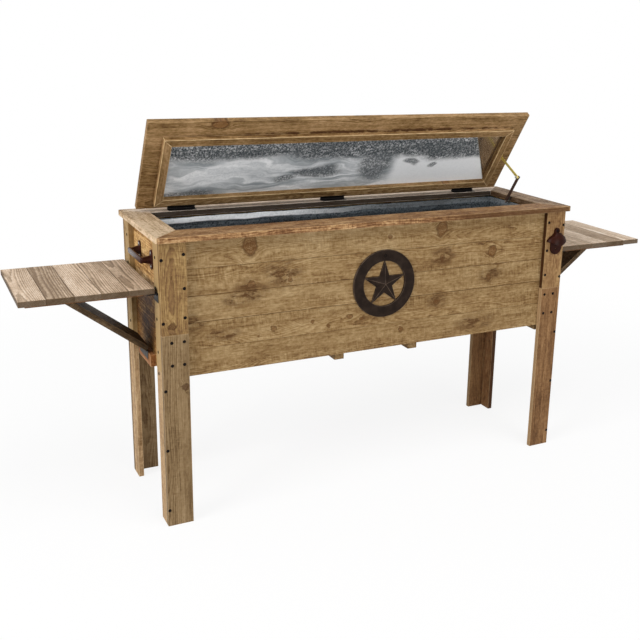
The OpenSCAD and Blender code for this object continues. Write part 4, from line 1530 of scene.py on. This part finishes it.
@dataclass
class SideTable:
    """One folding table with its battens and its brace."""

    plan: Plan
    shop: Workshop
    end: End
    tones: tuple[float, ...] = (0.0, 0.5, -0.05, 0.3, 0.1)
    # How much paler the right table's boards are drawn: painted light.
    right_paler: float = 0.25
    ease: float = 1.4 * MM
    batten: float = 30 * MM
    batten_tone: float = 0.1
    brace_tone: float = -0.2
    # How much paler the right brace is drawn: painted light.
    right_brace_paler: float = 0.25
    brace_angle: float = math.radians(37.4)
    foot_gap: float = 8 * MM
    top_gap: float = 0.3 * MM

    def build(self) -> None:
        """Builds the table's boards, its battens and its brace."""
        self._top()
        self._battens()
        self._brace()

    def _top(self) -> None:
        """Boards that run front to back, with their tones in order from the chest outwards."""
        word = self.end.word
        low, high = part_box("table_boards_" + word)
        pitch = (high.x - low.x + self.plan.board_gap) / len(self.tones)
        pile = BoardPile(f"table_{word}_planks", 300 + self.end.value)
        # The right table's boards are drawn paler: painted light.
        paler = self.right_paler if self.end is End.RIGHT else 0.0
        for i, tone in enumerate(self.tones[::-self.end.value]):
            x = low.x + i * pitch
            pile.add(Board.between(Vector((x, low.y, low.z)),
                                   Vector((x + pitch - self.plan.board_gap, high.y, high.z)),
                                   Axis.Y, tone=tone - paler, ease=self.ease))
        pile.piece("table_" + word, TABLE_WOOD, self.shop, "table_boards_" + word)

    def _battens(self) -> None:
        """Two battens under the boards."""
        word = self.end.word
        low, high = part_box("table_battens_" + word)
        pile = BoardPile(f"table_{word}_battens", 310 + self.end.value)
        for y in (low.y, high.y - self.batten):
            pile.add(Board.between(Vector((low.x, y, low.z)), Vector((high.x, y + self.batten, high.z)),
                                   Axis.X, tone=self.batten_tone))
        pile.piece("table_" + word, BATTEN_WOOD, self.shop, "table_battens_" + word)

    def _brace(self) -> None:
        """The leaning board with its bevelled upper end, drawn paler at the right table than at the left as
        painted light.
        """
        word = self.end.word
        side = self.end.value
        pin = self.plan.pin(f"prop_{word}_hinge")
        low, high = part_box("brace_" + word)
        along = Vector((math.cos(self.brace_angle), math.sin(self.brace_angle)))
        across = Vector((-along.y, along.x)) * self.plan.board
        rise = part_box("table_boards_" + word)[0].z - self.top_gap - pin.z
        lower = rise / along.y
        upper = (rise - across.y) / along.y
        outline = tuple((p.x, p.y) for p in (along * self.foot_gap, along * lower, across + along * upper,
                                             across + along * self.foot_gap))
        upright = Matrix(((side, 0, 0, pin.x), (0, 0, -side, high.y if side > 0 else low.y),
                          (0, 1, 0, pin.z), (0, 0, 0, 1)))
        flat = Matrix(((1, 0, 0, 0), (0, 0, 1, 0), (0, 1, 0, 0), (0, 0, 0, 1)))
        grain = flat @ Matrix.Rotation(-self.brace_angle, 4, "Z")
        pile = BoardPile(f"brace_{word}_board", 320 + side)
        tone = self.brace_tone - self.right_brace_paler * side
        pile.add(Board(outline, high.y - low.y, upright, grain, tone, self.ease))
        pile.piece("prop_" + word, BRACE_WOOD, self.shop, "brace_" + word)


@dataclass(frozen=True)
class Lamp:
    """One soft square lamp: where it stands, its side in metres and its power in watts."""

    name: str
    at: tuple[float, float, float]
    size: float
    power: float


@dataclass
class Studio:
    """The pale floor, the soft lamps, the white surround and the camera."""

    image_size: int = 640
    focal_pixels: float = 916.8
    centre_x: float = 371.4
    centre_y: float = 288.7
    yaw: float = 0.491
    pitch: float = -0.272
    roll: float = 0.028
    eye: tuple[float, float, float] = (-1.2141, -2.3818, 1.300)
    sensor: float = 36.0
    clip: tuple[float, float] = (0.05, 60.0)
    lamps: tuple[Lamp, ...] = (Lamp("key", (-8.2, -2.6, 4.4), 4.5, 690.0),
                               Lamp("front", (1.6, -8.6, 1.0), 3.4, 350.0),
                               Lamp("top", (1.0, -3.0, 6.4), 4.0, 190.0))
    aim: Vector = Vector((0, 0, 0.6))
    surround: tuple[float, ...] = (0.98, 0.99, 1.0, 1)
    surround_light: float = 0.36
    floor_half: float = 14.0
    paper: tuple[float, ...] = (0.9, 0.9, 0.9, 1)
    paper_roughness: float = 0.9
    white_from: float = 0.9
    white_to: float = 2.6
    white_share: float = 0.86

    def build(self) -> None:
        """Sets up the floor, the lamps, the surround and the camera."""
        self._floor()
        self._world()
        for lamp in self.lamps:
            self._light(lamp)
        self._camera()
        bpy.context.scene.view_settings.view_transform = "Standard"

    def _camera(self) -> None:
        """A camera where the photograph was taken from."""
        data = bpy.data.cameras.new("camera")
        data.sensor_width = self.sensor
        data.lens = self.focal_pixels / self.image_size * self.sensor
        data.shift_x = -(self.centre_x - self.image_size / 2) / self.image_size
        data.shift_y = (self.centre_y - self.image_size / 2) / self.image_size
        data.clip_start, data.clip_end = self.clip
        forward = Vector((math.sin(self.yaw) * math.cos(self.pitch),
                          math.cos(self.yaw) * math.cos(self.pitch), math.sin(self.pitch)))
        level = Vector((math.cos(self.yaw), -math.sin(self.yaw), 0.0))
        up = level.cross(forward)
        right = level * math.cos(self.roll) + up * math.sin(self.roll)
        top = up * math.cos(self.roll) - level * math.sin(self.roll)
        camera = bpy.data.objects.new("camera", data)
        turn = Matrix((right, top, -forward)).transposed().to_4x4()
        camera.matrix_world = Matrix.Translation(self.eye) @ turn
        bpy.context.scene.collection.objects.link(camera)
        bpy.context.scene.camera = camera

    def _light(self, lamp: Lamp) -> None:
        """Sets up one lamp that faces the cooler.

        Args:
            lamp: The lamp.
        """
        data = bpy.data.lights.new(lamp.name, "AREA")
        data.size = lamp.size
        data.energy = lamp.power
        obj = bpy.data.objects.new(lamp.name, data)
        obj.location = lamp.at
        obj.rotation_euler = (self.aim - Vector(lamp.at)).to_track_quat("-Z", "Y").to_euler()
        bpy.context.scene.collection.objects.link(obj)

    def _looked_at(self, g: Graph) -> Sock:
        """1 where the surround is seen, by the camera or in metal or glass."""
        camera = g.node("ShaderNodeLightPath", None, None, "Is Camera Ray")
        return camera.top(camera.sister("Is Glossy Ray")).top(camera.sister("Is Transmission Ray"))

    def _world(self) -> None:
        """A surround that looks white and lights the cooler softly."""
        world = bpy.data.worlds.new("surround")
        bpy.context.scene.world = world
        g = Graph(world)
        seen = g.node("ShaderNodeBackground", None, {"Color": (1, 1, 1, 1)})
        lit = g.node("ShaderNodeBackground", None, {"Color": self.surround, "Strength": self.surround_light})
        shown = g.node("ShaderNodeMixShader", None, {0: self._looked_at(g), 1: lit, 2: seen})
        g.node("ShaderNodeOutputWorld", None, {"Surface": shown})

    def _floor(self) -> None:
        """A wide pale floor that turns white with distance and keeps the cooler's shadow."""
        bm = bmesh.new()
        bmesh.ops.create_grid(bm, x_segments=1, y_segments=1, size=self.floor_half)
        floor = new_object("floor", bm)
        g = Graph.of_material("floor_paper")
        paper = g.node("ShaderNodeBsdfPrincipled", None,
                       {"Base Color": self.paper, "Roughness": self.paper_roughness})
        white = g.node("ShaderNodeEmission", None, {"Strength": 1.0})
        away = g.node("ShaderNodeVectorMath", {"operation": "LENGTH"}, {0: g.object_place()}, "Value")
        share = self._looked_at(g) * away.ramp(self.white_from, self.white_to, self.white_share)
        shown = g.node("ShaderNodeMixShader", None, {0: share, 1: paper, 2: white})
        g.node("ShaderNodeOutputMaterial", None, {"Surface": shown})
        floor.data.materials.append(g.owner)


def main() -> None:
    """Builds the studio and the cooler's sub-assemblies in order, and reports each piece."""
    logging.basicConfig(level=logging.INFO, format="%(name)s: %(message)s")
    plan = Plan()
    shop = Workshop()
    Studio().build()
    tables = [SideTable(plan, shop, end) for end in End]
    for assembly in (Cabinet(plan, shop), Lid(plan, shop), Ironwork(shop), Castings(shop), *tables):
        shop.ready.clear()
        assembly.build()
        for piece in shop.ready:
            LOG.info("%s: %s, %d faces", type(assembly).__name__, piece.name, len(piece.data.polygons))


if __name__ == "__main__":
    main()
